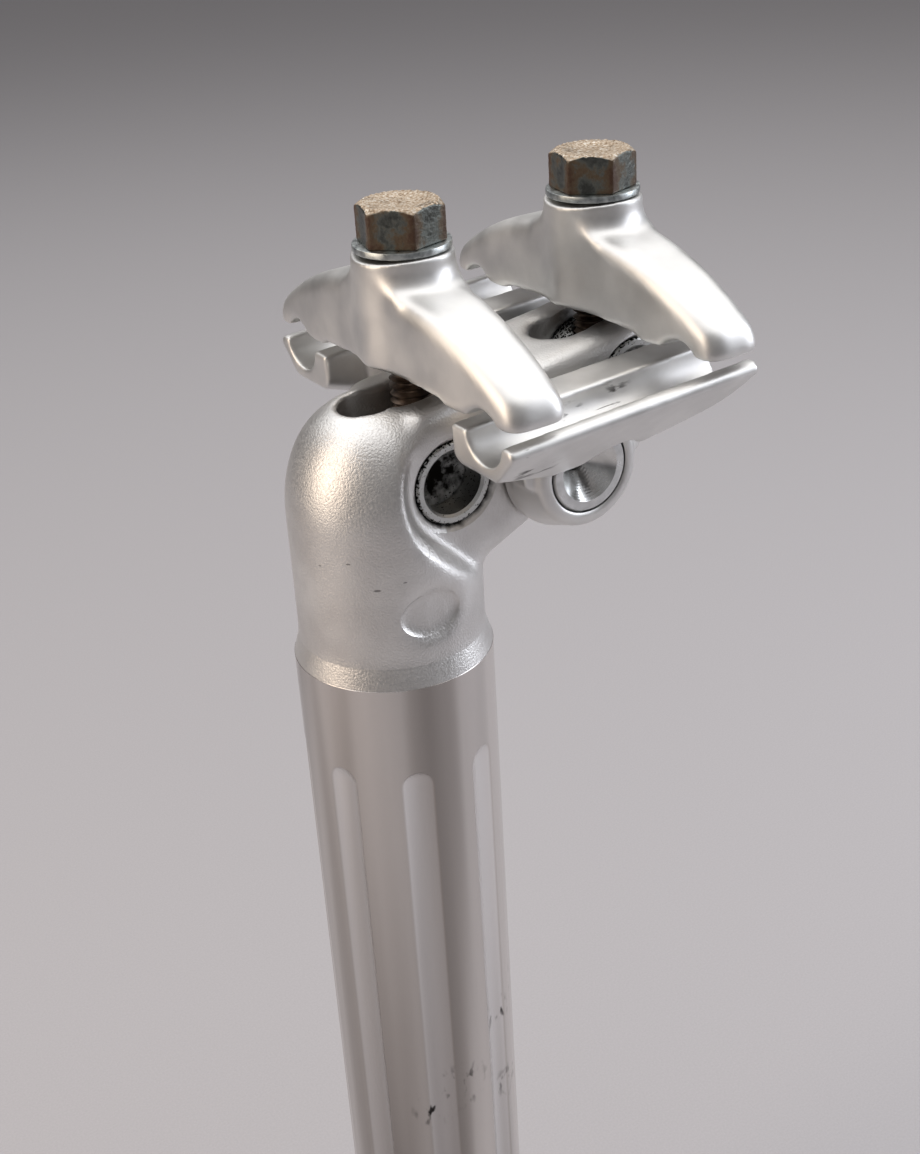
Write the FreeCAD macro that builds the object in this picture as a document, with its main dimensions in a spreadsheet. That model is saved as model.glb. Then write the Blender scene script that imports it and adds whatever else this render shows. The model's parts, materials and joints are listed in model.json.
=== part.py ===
import FreeCAD, Part
import math
import os

import Sketcher
from FreeCAD import Placement, Rotation, Vector

# A two-bolt bicycle seatpost. Z runs up the shaft, X to the rear of the bicycle and -Y is the rider's
# left. The origin is on the shaft's axis at its lower end. Heights that end in _height count from the
# ring, the edge where the fluted shaft meets the frosted head.

doc = FreeCAD.newDocument("Seatpost")

# Driving dimensions in millimetres and degrees

SIZES = [
    ("shaft_length", 180.0, "lower end of the shaft to the ring"),
    ("shaft_diameter", 27.2, "seat tube size"),
    ("shaft_wall", 2.3, "wall of the tube"),
    ("bore_stop", 9.0, "solid plug left under the ring"),
    ("bore_chamfer", 2.0, "corner at the top of the bore"),
    ("end_chamfer", 0.6, "lower rim of the shaft"),
    ("line_height", 72.0, "turned line that marks the least insertion"),
    ("line_width", 1.0, "turned line"),
    ("line_depth", 0.2, "turned line"),
    ("flute_count", 8, "flutes round the shaft"),
    ("flute_top", 11.0, "top of the flutes below the ring"),
    ("flute_length", 92.0, "top to bottom of a flute"),
    ("flute_cutter", 4.4, "radius of the ball-nosed cutter"),
    ("flute_depth", 0.8, "depth of a flute"),
    ("flute_turn", 22.5, "first flute's angle from the bicycle's plane"),
    ("band_rise", 2.9, "cone between shaft and neck"),
    ("neck_diameter", 25.4, "round neck of the head"),
    ("shoulder_height", 21.0, "where the neck starts to round over"),
    ("shoulder_radius", 20.0, "gentle arc above the neck"),
    ("crown_inset", 0.64, "crown's radius under half the neck"),
    ("web_width", 18.2, "head across its two flat cheeks"),
    ("underside_angle", 24.0, "rise of the head's underside"),
    ("top_angle", 6.6, "rise of the head's top"),
    ("tail_radius", 7.6, "round tail of the head about the rear nut"),
    ("web_edge_radius", 2.6, "rounding along the web's edges"),
    ("scoop_x", 7.5, "centre of the scooped cheek"),
    ("scoop_height", 26.0, "centre of the scooped cheek"),
    ("scoop_radius", 9.2, "flat floor of the scoop"),
    ("scoop_draft", 33.0, "slope of the scoop's wall"),
    ("scoop_run", 18.0, "the scoop's lower side reaches this far past its centre"),
    ("scoop_turn", 45.0, "slope of the scoop's lower side"),
    ("plate_x", -0.8, "centre of the oval stamping"),
    ("plate_height", 9.6, "centre of the oval stamping"),
    ("plate_length", 9.6, "oval stamping, along X"),
    ("plate_rise", 7.0, "oval stamping, up the neck"),
    ("plate_depth", 1.1, "oval stamping at its middle"),
    ("front_bolt_x", 5.8, "front bolt from the shaft's axis"),
    ("front_nut_height", 24.75, "front barrel nut"),
    ("rear_bolt_x", 35.4, "rear bolt from the shaft's axis"),
    ("rear_nut_height", 31.4, "rear barrel nut"),
    ("nut_diameter", 11.2, "barrel nut"),
    ("nut_recess", 0.35, "nut end below the cheek"),
    ("nut_hollow", 8.6, "hole in each end of the nut"),
    ("nut_hollow_depth", 4.2, "depth of that hole"),
    ("nut_chamfer", 0.75, "lead-in round each nut's hole"),
    ("running_gap", 0.07, "radial clearance of turning pieces"),
    ("slot_width", 7.4, "bolt slots in the head"),
    ("front_slot_length", 18.0, "front slot"),
    ("front_slot_floor", 12.0, "bottom of the front slot"),
    ("rear_slot_length", 15.4, "rear slot"),
    ("rear_slot_shift", -2.4, "middle of the rear slot from its bolt"),
    ("front_slot_shift", -1.6, "middle of the front slot from its bolt"),
    ("pivot_x", 22.1, "cradle pivot"),
    ("pivot_height", 24.3, "cradle pivot"),
    ("pin_diameter", 11.6, "pivot pin"),
    ("pin_cone", 8.4, "cone recess in each end of the pin"),
    ("pin_cone_depth", 3.2, "depth of that cone"),
    ("pin_drill", 2.2, "centre hole at the bottom of the cone"),
    ("saddle_tilt", 2.5, "rails rise to the rear, as photographed"),
    ("rail_rise", 12.8, "rail axis above the pivot"),
    ("rail_spacing", 44.0, "between the two rail axes"),
    ("rail_diameter", 7.0, "saddle rail"),
    ("rail_gap", 0.05, "radial room round a rail"),
    ("ear_gap", 0.3, "ear to cheek"),
    ("ear_length", 6.4, "ear boss, cheek to outer face"),
    ("ear_base_radius", 9.3, "ear boss at the cheek"),
    ("ear_face_radius", 8.0, "ear boss at its outer face"),
    ("ear_round", 1.2, "rounded rim of the outer face"),
    ("wing_front", 20.0, "pivot to the wing's front end"),
    ("wing_rear", 18.1, "pivot to the wing's rear end"),
    ("wing_outer", 27.9, "outer lip from the middle"),
    ("wing_inner", 12.6, "inner ledge from the middle"),
    ("belly_front", 5.0, "wing below the rail axis at the front"),
    ("ledge_start", 10.5, "inner ledge starts this far before the pivot"),
    ("ledge_run", 3.6, "slope at the ledge's front end"),
    ("ledge_inner", 15.2, "wing's inner side before the ledge"),
    ("heel_round", 1.8, "rounding under that side"),
    ("belly_deep", 9.0, "wing below the rail axis at the ear"),
    ("belly_rear", 6.6, "wing below the rail axis before its rear round"),
    ("rear_run", 4.2, "the rear round starts this far before the end"),
    ("rear_round", 6.0, "rear round of the belly"),
    ("rear_tip", 1.8, "wing below the rail axis at its rear end"),
    ("belly_bow", 60.0, "bow of the belly's rear half"),
    ("belly_turn", 3.7, "where that bow starts, behind the pivot"),
    ("rear_lean", 0.3, "the wing's rear end leans in by this much"),
    ("lip_drop", 0.0, "lips below the rail axis"),
    ("lip_round", 1.1, "rounded outer lip"),
    ("flank_angle", 34.0, "slope of the wing's flank"),
    ("flank_edge", 1.2, "upright edge of the outer lip"),
    ("flank_foot", 7.6, "where the flank ends, in from the outer lip"),
    ("arm_wall", 5.2, "arm from the ear up to the wing"),
    ("arm_taper", 3.15, "plan view, arms narrow to their ends"),
    ("waist_angle", 20.0, "plan view, where the round boss ends"),
    ("waist_radius", 12.0, "plan view, hollow between boss and arm"),
    ("clamp_wall", 2.85, "metal outside each rail's notch"),
    ("seat_rise", 17.1, "washer seat above the rail axis"),
    ("boss_radius", 6.5, "round boss under the washer"),
    ("arch_rise", 2.9, "clamp's underside above the rail axis"),
    ("toe_drop", 1.75, "toes and lobes above the rail axis"),
    ("toe_inner", 14.4, "inner toe from the middle"),
    ("toe_round", 2.2, "hollow above the inner toe"),
    ("toe_round_out", 1.4, "hollow above the inner toe, its outer end"),
    ("toe_round_in", 0.6, "hollow above the inner toe, its inner end"),
    ("toe_rise", 0.7, "hollow above the inner toe, its rise"),
    ("toe_lean", 0.3, "the clamp's end leans in by this much"),
    ("arm_crown", 13.9, "top of the arms' bow above the rail axis, under the boss"),
    ("arm_bow", 48.0, "bow of the arms' top"),
    ("lobe_radius", 4.4, "round end of the arm"),
    ("flare_radius", 2.6, "hollow between boss and arm"),
    ("flare_sink", 0.08, "flare set into the arm's bow"),
    ("arm_edge_radius", 2.4, "rounding along the arms"),
    ("seat_crown", 40.0, "bow of the washer seat"),
    ("seat_reach", 8.0, "half the length of that bow"),
    ("clamp_hole", 6.8, "bolt hole across the clamp"),
    ("clamp_hole_length", 8.6, "bolt hole along the rails"),
    ("washer_diameter", 12.4, "flat washer"),
    ("washer_bore", 6.4, "flat washer"),
    ("washer_thickness", 0.85, "flat washer"),
    ("washer_gap", 0.12, "washer over its bowed seat"),
    ("thread_diameter", 5.85, "bolt"),
    ("point_chamfer", 0.8, "lower end of the bolt"),
    ("thread_bore", 6.35, "tapped hole of the nut, with room for the bolt to lean"),
    ("hex_width", 10.0, "bolt head across flats"),
    ("hex_height", 4.9, "bolt head"),
    ("hex_turn_front", 15.0, "front head turned about its axis"),
    ("hex_turn_rear", 19.0, "rear head turned about its axis"),
    ("hex_chamfer", 0.7, "rounded corners of the head"),
    ("dish_depth", 0.5, "hollow in the top of the head"),
    ("dish_radius", 3.6, "hollow in the top of the head"),
    ("front_bolt_length", 37.0, "under the front head"),
    ("rear_bolt_length", 31.0, "under the rear head"),
]

sheet = doc.addObject("Spreadsheet::Sheet", "Sizes")
for row, (alias, number, note) in enumerate(SIZES, start=1):
    sheet.set("A%d" % row, alias)
    sheet.set("B%d" % row, str(number))
    sheet.set("C%d" % row, note)
    sheet.setAlias("B%d" % row, alias)
doc.recompute()


def bound(text):
    """An expression over the sheet's aliases, with every alias pointed at the sheet."""
    words = []
    word = ""
    for letter in text + " ":
        if letter.isalnum() or letter == "_":
            word += letter
            continue
        words.append("Sizes." + word if word in NAMES else word)
        words.append(letter)
        word = ""
    return "".join(words).strip()


NAMES = {alias for alias, number, note in SIZES}


# Sketches and features

def new_body(label):
    body = doc.addObject("PartDesign::Body", label)
    body.Label = label
    return body


def new_sketch(body, name, role, offset="0", turn_axis=None, turn="0"):
    """A sketch on one of the body's own planes, moved along its normal and turned."""
    sketch = body.newObject("Sketcher::SketchObject", name)
    plane = [item for item in body.Origin.OriginFeatures if item.Role == role][0]
    sketch.AttachmentSupport = [(plane, "")]
    sketch.MapMode = "FlatFace"
    if turn_axis:
        sketch.AttachmentOffset = Placement(Vector(), Rotation(turn_axis, 1.0))
        sketch.setExpression("AttachmentOffset.Rotation.Angle", bound(turn))
    if offset != "0":
        sketch.setExpression("AttachmentOffset.Base.z", bound(offset))
    doc.recompute()
    return sketch


def value(sketch, text):
    return float(sketch.evalExpression(bound(text)))


def pin_point(sketch, geo, end, x_text, y_text):
    """Ties one end of an edge to two expressions."""
    for kind, text, axis in (("DistanceX", x_text, -2), ("DistanceY", y_text, -1)):
        if text == "0":
            sketch.addConstraint(Sketcher.Constraint("PointOnObject", geo, end, axis))
            continue
        number = value(sketch, text)
        index = sketch.addConstraint(Sketcher.Constraint(kind, -1, 1, geo, end, number))
        sketch.setExpression("Constraints[%d]" % index, bound(text))


def arc_between(start, stop, radius, side):
    """The short arc from start to stop. Its centre is left of the way when side is 1, else right."""
    chord = stop.sub(start)
    half = chord.Length / 2.0
    left = Vector(-chord.y, chord.x, 0).normalize()
    reach = math.sqrt(max(radius * radius - half * half, 0.0))
    centre = start.add(chord.multiply(0.5)).add(left.multiply(side * reach))
    out = start.add(stop).multiply(0.5).sub(centre)
    if out.Length < 1e-9:
        out = Vector(stop.y - start.y, start.x - stop.x, 0).multiply(side)
    middle = centre.add(out.normalize().multiply(radius))
    return Part.Arc(start, middle, stop)


def outline(sketch, corners):
    """A closed outline. Each corner is (x, y), or (x, y, radius, side) when an arc leads on from it."""
    points = [Vector(value(sketch, item[0]), value(sketch, item[1]), 0) for item in corners]
    ends = []
    for index, item in enumerate(corners):
        start, stop = points[index], points[(index + 1) % len(points)]
        if len(item) == 2:
            geo = sketch.addGeometry(Part.LineSegment(start, stop))
            ends.append((geo, 1, 2))
            continue
        arc = arc_between(start, stop, value(sketch, item[2]), item[3])
        geo = sketch.addGeometry(arc)
        forward = sketch.getPoint(geo, 1).sub(start).Length < 1e-6
        ends.append((geo, 1, 2) if forward else (geo, 2, 1))
    for index, item in enumerate(corners):
        geo, first, last = ends[index]
        after, after_first, after_last = ends[(index + 1) % len(ends)]
        sketch.addConstraint(Sketcher.Constraint("Coincident", geo, last, after, after_first))
    for index, item in enumerate(corners):
        geo, first, last = ends[index]
        pin_point(sketch, geo, first, item[0], item[1])
        if len(item) == 4:
            number = value(sketch, item[2])
            radius = sketch.addConstraint(Sketcher.Constraint("Radius", geo, number))
            sketch.setExpression("Constraints[%d]" % radius, bound(item[2]))
    return sketch


def circle(sketch, x_text, y_text, radius_text):
    centre = Vector(value(sketch, x_text), value(sketch, y_text), 0)
    radius = value(sketch, radius_text)
    geo = sketch.addGeometry(Part.Circle(centre, Vector(0, 0, 1), radius))
    pin_point(sketch, geo, 3, x_text, y_text)
    index = sketch.addConstraint(Sketcher.Constraint("Radius", geo, radius))
    sketch.setExpression("Constraints[%d]" % index, bound(radius_text))
    return sketch


def slot(sketch, x_text, length_text, width_text):
    """A round-ended slot along the sketch's x, centred on its x axis."""
    left = "%s - %s / 2 + %s / 2" % (x_text, length_text, width_text)
    right = "%s + %s / 2 - %s / 2" % (x_text, length_text, width_text)
    half = "%s / 2" % width_text
    return outline(sketch, [
        (right, half),
        (left, half, half, 1),
        ("%s - %s" % (left, half), "0", half, 1),
        (left, "0 - " + half),
        (right, "0 - " + half, half, 1),
        ("%s + %s" % (right, half), "0", half, 1),
    ])


def pad(body, name, sketch, length, midplane=False, backwards=False, draft=None):
    feature = body.newObject("PartDesign::Pad", name)
    feature.Profile = sketch
    feature.setExpression("Length", bound(length))
    feature.SideType = "Symmetric" if midplane else "One side"
    feature.Reversed = backwards
    if draft:
        feature.setExpression("TaperAngle", bound(draft))
    doc.recompute()
    return feature


def pocket(body, name, sketch, length, midplane=False, backwards=False, draft=None):
    """A cut. It has to take something away, so the volume is compared."""
    before = body.Tip.Shape.Volume
    feature = body.newObject("PartDesign::Pocket", name)
    feature.Profile = sketch
    feature.setExpression("Length", bound(length))
    feature.SideType = "Symmetric" if midplane else "One side"
    feature.Reversed = backwards
    if draft:
        feature.setExpression("TaperAngle", bound(draft))
    doc.recompute()
    if feature.Shape.isNull() or feature.Shape.Volume > before - 1e-3:
        raise RuntimeError("%s cut nothing" % name)
    return feature


def mirrored(body, name, feature, role):
    """The feature again on the other side of one of the body's own planes."""
    other = body.newObject("PartDesign::Mirrored", name)
    other.Originals = [feature]
    other.MirrorPlane = ([item for item in body.Origin.OriginFeatures if item.Role == role][0], [""])
    body.Tip = other
    doc.recompute()
    return other


def turned(body, name, sketch, kind="PartDesign::Revolution"):
    """A full turn of the sketch about its own vertical axis."""
    feature = body.newObject(kind, name)
    feature.Profile = sketch
    feature.ReferenceAxis = (sketch, ["V_Axis"])
    feature.Angle = 360.0
    doc.recompute()
    return feature


def fillet(body, name, radius, wanted):
    """Rounds the edges of the body's last shape that the test picks."""
    base = body.Tip
    names = ["Edge%d" % (index + 1) for index, edge in enumerate(base.Shape.Edges) if wanted(edge)]
    if not names:
        raise RuntimeError("%s found no edge" % name)
    feature = body.newObject("PartDesign::Fillet", name)
    feature.Base = (base, names)
    feature.setExpression("Radius", bound(radius))
    doc.recompute()
    return feature


def place(item, x="0", z="0", tilt=None):
    if tilt:
        item.Placement = Placement(Vector(), Rotation(Vector(0, -1, 0), 1.0))
        item.setExpression("Placement.Rotation.Angle", bound(tilt))
    item.setExpression("Placement.Base.x", bound(x))
    item.setExpression("Placement.Base.z", bound(z))
    doc.recompute()


def middle_of(edge):
    return edge.valueAt((edge.FirstParameter + edge.LastParameter) / 2.0)


def is_near(number, target, slack=0.05):
    return abs(number - target) < slack


def size(name):
    return float(sheet.get(name))


# Post: one forging with the fluted shaft, the neck, the crowned head and its bores

RING = "shaft_length"
CROWN = "(neck_diameter / 2 - crown_inset)"
CROWN_SLOPE = "acos((shoulder_radius - neck_diameter / 2) / (shoulder_radius - %s))" % CROWN
CHEEK = "web_width / 2"


def make_post():
    body = new_body("post")
    # the web that carries the nuts and the pivot, tangent to the round tail
    web = new_sketch(body, "WebProfile", "XZ_Plane")
    tail_z = RING + " + rear_nut_height"
    low_x = "(rear_bolt_x + tail_radius * sin(underside_angle))"
    low_z = "(%s - tail_radius * cos(underside_angle))" % tail_z
    high_x = "(rear_bolt_x - tail_radius * sin(top_angle))"
    high_z = "(%s + tail_radius * cos(top_angle))" % tail_z
    outline(web, [
        ("1", "%s - (%s - 1) * tan(underside_angle)" % (low_z, low_x)),
        (low_x, low_z, "tail_radius", 1),
        ("rear_bolt_x + tail_radius", tail_z, "tail_radius", 1),
        (high_x, high_z),
        ("1", "%s - (%s - 1) * tan(top_angle)" % (high_z, high_x)),
    ])
    pad(body, "Web", web, "web_width", midplane=True)
    cheek = size("web_width") / 2.0

    def outer_edges(edge):
        mid = middle_of(edge)
        return is_near(abs(mid.y), cheek) and mid.x > 1.01

    fillet(body, "WebEdges", "web_edge_radius", outer_edges)

    # the crown's arc meets the shoulder's arc where their radii line up
    side = "(neck_diameter / 2 - shoulder_radius)"
    meet_x = "%s * cos(%s)" % (CROWN, CROWN_SLOPE)
    meet_z = "%s + shoulder_height + shoulder_radius * sin(%s)" % (RING, CROWN_SLOPE)
    top_z = "%s - %s * sin(%s) + %s" % (meet_z, CROWN, CROWN_SLOPE, CROWN)
    half = "shaft_diameter / 2"
    inner = "shaft_diameter / 2 - shaft_wall"
    profile = new_sketch(body, "TurnedProfile", "XZ_Plane")
    outline(profile, [
        (inner, "0"),
        (half + " - end_chamfer", "0"),
        (half, "end_chamfer"),
        (half, "line_height - line_width / 2"),
        (half + " - line_depth", "line_height"),
        (half, "line_height + line_width / 2"),
        (half, RING),
        ("neck_diameter / 2", RING + " + band_rise"),
        ("neck_diameter / 2", RING + " + shoulder_height", "shoulder_radius", 1),
        (meet_x, meet_z, CROWN, 1),
        ("0", top_z),
        ("0", RING + " - bore_stop"),
        (inner + " - bore_chamfer", RING + " - bore_stop"),
        (inner, RING + " - bore_stop - bore_chamfer"),
    ])
    turned(body, "TurnedPost", profile)

    # a scoop with a sloping wall leaves a flat cheek, the same on both sides
    scoop = new_sketch(body, "ScoopProfile", "XZ_Plane", offset=CHEEK)
    centre_z = "(%s + scoop_height)" % RING
    floor_z = centre_z + " - scoop_radius * sin(scoop_turn) - scoop_run"
    outline(scoop, [
        ("scoop_x", centre_z + " + scoop_radius", "scoop_radius", 1),
        ("scoop_x - scoop_radius", centre_z, "scoop_radius", 1),
        ("scoop_x - scoop_radius * cos(scoop_turn)", centre_z + " - scoop_radius * sin(scoop_turn)"),
        ("scoop_x + scoop_run", floor_z + " - scoop_radius * cos(scoop_turn)"),
        ("rear_bolt_x + 20", floor_z),
        ("rear_bolt_x + 20", centre_z + " + scoop_radius"),
    ])
    cut = pocket(body, "Scoop", scoop, "neck_diameter / 2 - %s + 0.6" % CHEEK, backwards=True,
                 draft="scoop_draft")
    mirrored(body, "Scoops", cut, "XZ_Plane")

    # plain oval stamping on the left of the neck
    stamp = new_sketch(body, "StampProfile", "XZ_Plane", offset="neck_diameter / 2 - plate_depth")
    across = "plate_length / 2"
    tip_left = ("plate_x - %s" % across, RING + " + plate_height")
    tip_right = ("plate_x + %s" % across, RING + " + plate_height")
    bow = "(plate_length * plate_length / 4 + plate_rise * plate_rise / 4) / plate_rise"
    outline(stamp, [tip_left + (bow, 1), tip_right + (bow, 1)])
    pocket(body, "Stamp", stamp, "plate_depth + 3", backwards=True)

    # slots for the two bolts
    front = new_sketch(body, "FrontSlotProfile", "XY_Plane", offset=RING + " + front_slot_floor")
    slot(front, "(front_bolt_x + front_slot_shift)", "front_slot_length", "slot_width")
    pocket(body, "FrontSlot", front, "60", backwards=True)
    rear = new_sketch(body, "RearSlotProfile", "XY_Plane", offset=RING + " - 5")
    slot(rear, "(rear_bolt_x + rear_slot_shift)", "rear_slot_length", "slot_width")
    pocket(body, "RearSlot", rear, "60", backwards=True)

    # cross bores for the barrel nuts, with a lead-in, and for the pivot pin
    nut_bore = "nut_diameter / 2 + running_gap"
    for name, x_text, z_text in (("Front", "front_bolt_x", RING + " + front_nut_height"),
                                 ("Rear", "rear_bolt_x", RING + " + rear_nut_height")):
        bore = new_sketch(body, name + "NutBoreProfile", "XZ_Plane")
        circle(bore, x_text, z_text, nut_bore)
        pocket(body, name + "NutBore", bore, "60", midplane=True)
        for side, backwards, sign in (("Left", True, 1), ("Right", False, -1)):
            offset = "%s - nut_chamfer" % CHEEK
            if sign < 0:
                offset = "nut_chamfer - %s" % CHEEK
            lead = new_sketch(body, name + side + "LeadInProfile", "XZ_Plane", offset=offset)
            circle(lead, x_text, z_text, nut_bore)
            pocket(body, name + side + "LeadIn", lead, "nut_chamfer + 0.2",
                   backwards=backwards, draft="45")
    pivot = new_sketch(body, "PivotBoreProfile", "XZ_Plane")
    circle(pivot, "pivot_x", RING + " + pivot_height", "pin_diameter / 2 + running_gap")
    pocket(body, "PivotBore", pivot, "60", midplane=True)

    # one ball-ended flute, then the rest round the shaft
    cutter_x = "(shaft_diameter / 2 + flute_cutter - flute_depth)"
    flute = new_sketch(body, "FluteProfile", "XZ_Plane",
                       turn_axis=Vector(0, 1, 0), turn="flute_turn")
    top = RING + " - flute_top"
    bottom = RING + " - flute_top - flute_length"
    outline(flute, [
        (cutter_x, top, "flute_cutter", 1),
        (cutter_x + " - flute_cutter", top + " - flute_cutter"),
        (cutter_x + " - flute_cutter", bottom + " + flute_cutter", "flute_cutter", 1),
        (cutter_x, bottom),
    ])
    groove = body.newObject("PartDesign::Groove", "Flute")
    groove.Profile = flute
    groove.ReferenceAxis = (flute, ["Edge4"])
    groove.Angle = 360.0
    doc.recompute()
    ring_of = body.newObject("PartDesign::PolarPattern", "Flutes")
    ring_of.Originals = [groove]
    ring_of.Axis = (profile, ["V_Axis"])
    ring_of.Angle = 360.0
    ring_of.setExpression("Occurrences", bound("flute_count"))
    body.Tip = ring_of
    doc.recompute()
    return body


# Cradle: a trough for one rail, a belly under it and an ear on the pivot. Its own origin is the pivot.

def make_cradle():
    body = new_body("left_cradle")
    rail = "rail_rise"
    side = new_sketch(body, "WingSide", "XZ_Plane", offset="wing_inner")
    outline(side, [
        ("0 - wing_front", rail + " - belly_front"),
        ("0 - ear_base_radius", rail + " - belly_deep"),
        ("belly_turn", rail + " - belly_deep", "belly_bow", 1),
        ("wing_rear - rear_run", rail + " - belly_rear", "rear_round", 1),
        ("wing_rear - rear_lean", rail + " - rear_tip"),
        ("wing_rear", rail + " - lip_drop"),
        ("0 - wing_front", rail + " - lip_drop"),
    ])
    pad(body, "Wing", side, "wing_outer - wing_inner")

    # the flank slopes in under the outer lip, and the inner side hollows away from the head
    flank = new_sketch(body, "FlankCut", "YZ_Plane")
    edge_z = rail + " - lip_drop - flank_edge"
    outline(flank, [
        ("0 - wing_outer - 1", edge_z + " + tan(flank_angle)"),
        ("0 - wing_outer - 1", rail + " - belly_deep - 5"),
        ("0 - wing_inner", rail + " - belly_deep - 5"),
        ("0 - wing_inner", rail + " - belly_deep - 0.2"),
        ("0 - wing_outer + flank_foot", rail + " - belly_deep - 0.2"),
        ("0 - wing_outer", edge_z),
    ])
    pocket(body, "Flank", flank, "120", midplane=True)

    ledge = new_sketch(body, "LedgeCut", "XY_Plane")
    outline(ledge, [
        ("0 - wing_front - 1", "0 - ledge_inner"),
        ("0 - ledge_start - ledge_run", "0 - ledge_inner"),
        ("0 - ledge_start", "0 - wing_inner + 1"),
        ("0 - wing_front - 1", "0 - wing_inner + 1"),
    ])
    pocket(body, "Ledge", ledge, "80", midplane=True)

    def heel(edge):
        mid = middle_of(edge)
        return (is_near(mid.y, -size("ledge_inner")) and edge.BoundBox.XLength > 4.0
                and mid.z < size("rail_rise") - 3.0)

    fillet(body, "HeelRound", "heel_round", heel)

    def outer_lip(edge):
        mid = middle_of(edge)
        return (is_near(mid.y, -size("wing_outer")) and edge.BoundBox.XLength > 10.0
                and is_near(mid.z, size("rail_rise") - size("lip_drop")))

    fillet(body, "LipRound", "lip_round", outer_lip)

    # arm and boss of the ear
    arm = new_sketch(body, "ArmProfile", "XZ_Plane", offset=CHEEK + " + ear_gap")
    outline(arm, [
        ("0 - ear_base_radius", "0"),
        ("0", "0 - ear_base_radius + 2"),
        ("ear_base_radius", "0"),
        ("ear_base_radius + 1.5", rail + " - 3"),
        ("0 - ear_base_radius - 1.5", rail + " - 3"),
    ])
    pad(body, "Arm", arm, "arm_wall")
    boss = new_sketch(body, "EarProfile", "XY_Plane")
    near = "0 - %s - ear_gap" % CHEEK
    outline(boss, [
        ("0", near + " - ear_length"),
        ("ear_face_radius - ear_round", near + " - ear_length", "ear_round", 1),
        ("ear_face_radius", near + " - ear_length + ear_round"),
        ("ear_base_radius", near + " - ear_length * 0.25"),
        ("ear_base_radius", near),
        ("0", near),
    ])
    turned(body, "Ear", boss)

    # rail trough and pin bore
    trough = new_sketch(body, "TroughProfile", "YZ_Plane")
    rail_y = "(0 - rail_spacing / 2)"
    radius = "(rail_diameter / 2 + rail_gap)"
    outline(trough, [
        (rail_y + " - " + radius, rail + " + 5"),
        (rail_y + " - " + radius, rail, radius, 1),
        (rail_y, rail + " - " + radius, radius, 1),
        (rail_y + " + " + radius, rail),
        (rail_y + " + " + radius, rail + " + 5"),
    ])
    pocket(body, "Trough", trough, "120", midplane=True)
    bore = new_sketch(body, "PinBoreProfile", "XZ_Plane")
    circle(bore, "0", "0", "pin_diameter / 2 + running_gap / 2")
    pocket(body, "PinBore", bore, "60", midplane=True)
    place(body, "pivot_x", RING + " + pivot_height", tilt="saddle_tilt")
    return body


def make_right_cradle(left):
    mirror = doc.addObject("Part::Mirroring", "right_cradle")
    mirror.Label = "right_cradle"
    mirror.Source = left
    mirror.Normal = Vector(0, 1, 0)
    doc.recompute()
    return mirror


# Upper clamp: bridges both rails, with its bolt's boss in the middle. Its origin is at rail height.

CLAMP_REACH = "(rail_spacing / 2 + rail_diameter / 2 + rail_gap + clamp_wall)"


def trim_plan(body, name):
    """In plan the round boss flows into arms that taper to their ends."""
    plan = new_sketch(body, name + "Profile", "XY_Plane")
    turn = "waist_radius * (cos(arm_taper) - cos(waist_angle))"
    step = "waist_radius * (sin(waist_angle) - sin(arm_taper))"
    boss_x = "boss_radius * cos(waist_angle)"
    boss_y = "boss_radius * sin(waist_angle)"
    waist_x = "(%s - %s)" % (boss_x, turn)
    waist_y = "(%s + %s)" % (boss_y, step)
    far = "(%s + 2)" % CLAMP_REACH
    tip_x = "(%s - (%s - %s) * tan(arm_taper))" % (waist_x, far, waist_y)
    outline(plan, [
        ("boss_radius + 6", far),
        (tip_x, far),
        (waist_x, waist_y, "waist_radius", 1),
        (boss_x, boss_y, "boss_radius", -1),
        (boss_x, "0 - (%s)" % boss_y, "waist_radius", 1),
        (waist_x, "0 - (%s)" % waist_y),
        (tip_x, "0 - " + far),
        ("boss_radius + 6", "0 - " + far),
    ])
    cut = pocket(body, name, plan, "80", midplane=True)
    mirrored(body, name + "Pair", cut, "YZ_Plane")


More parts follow.
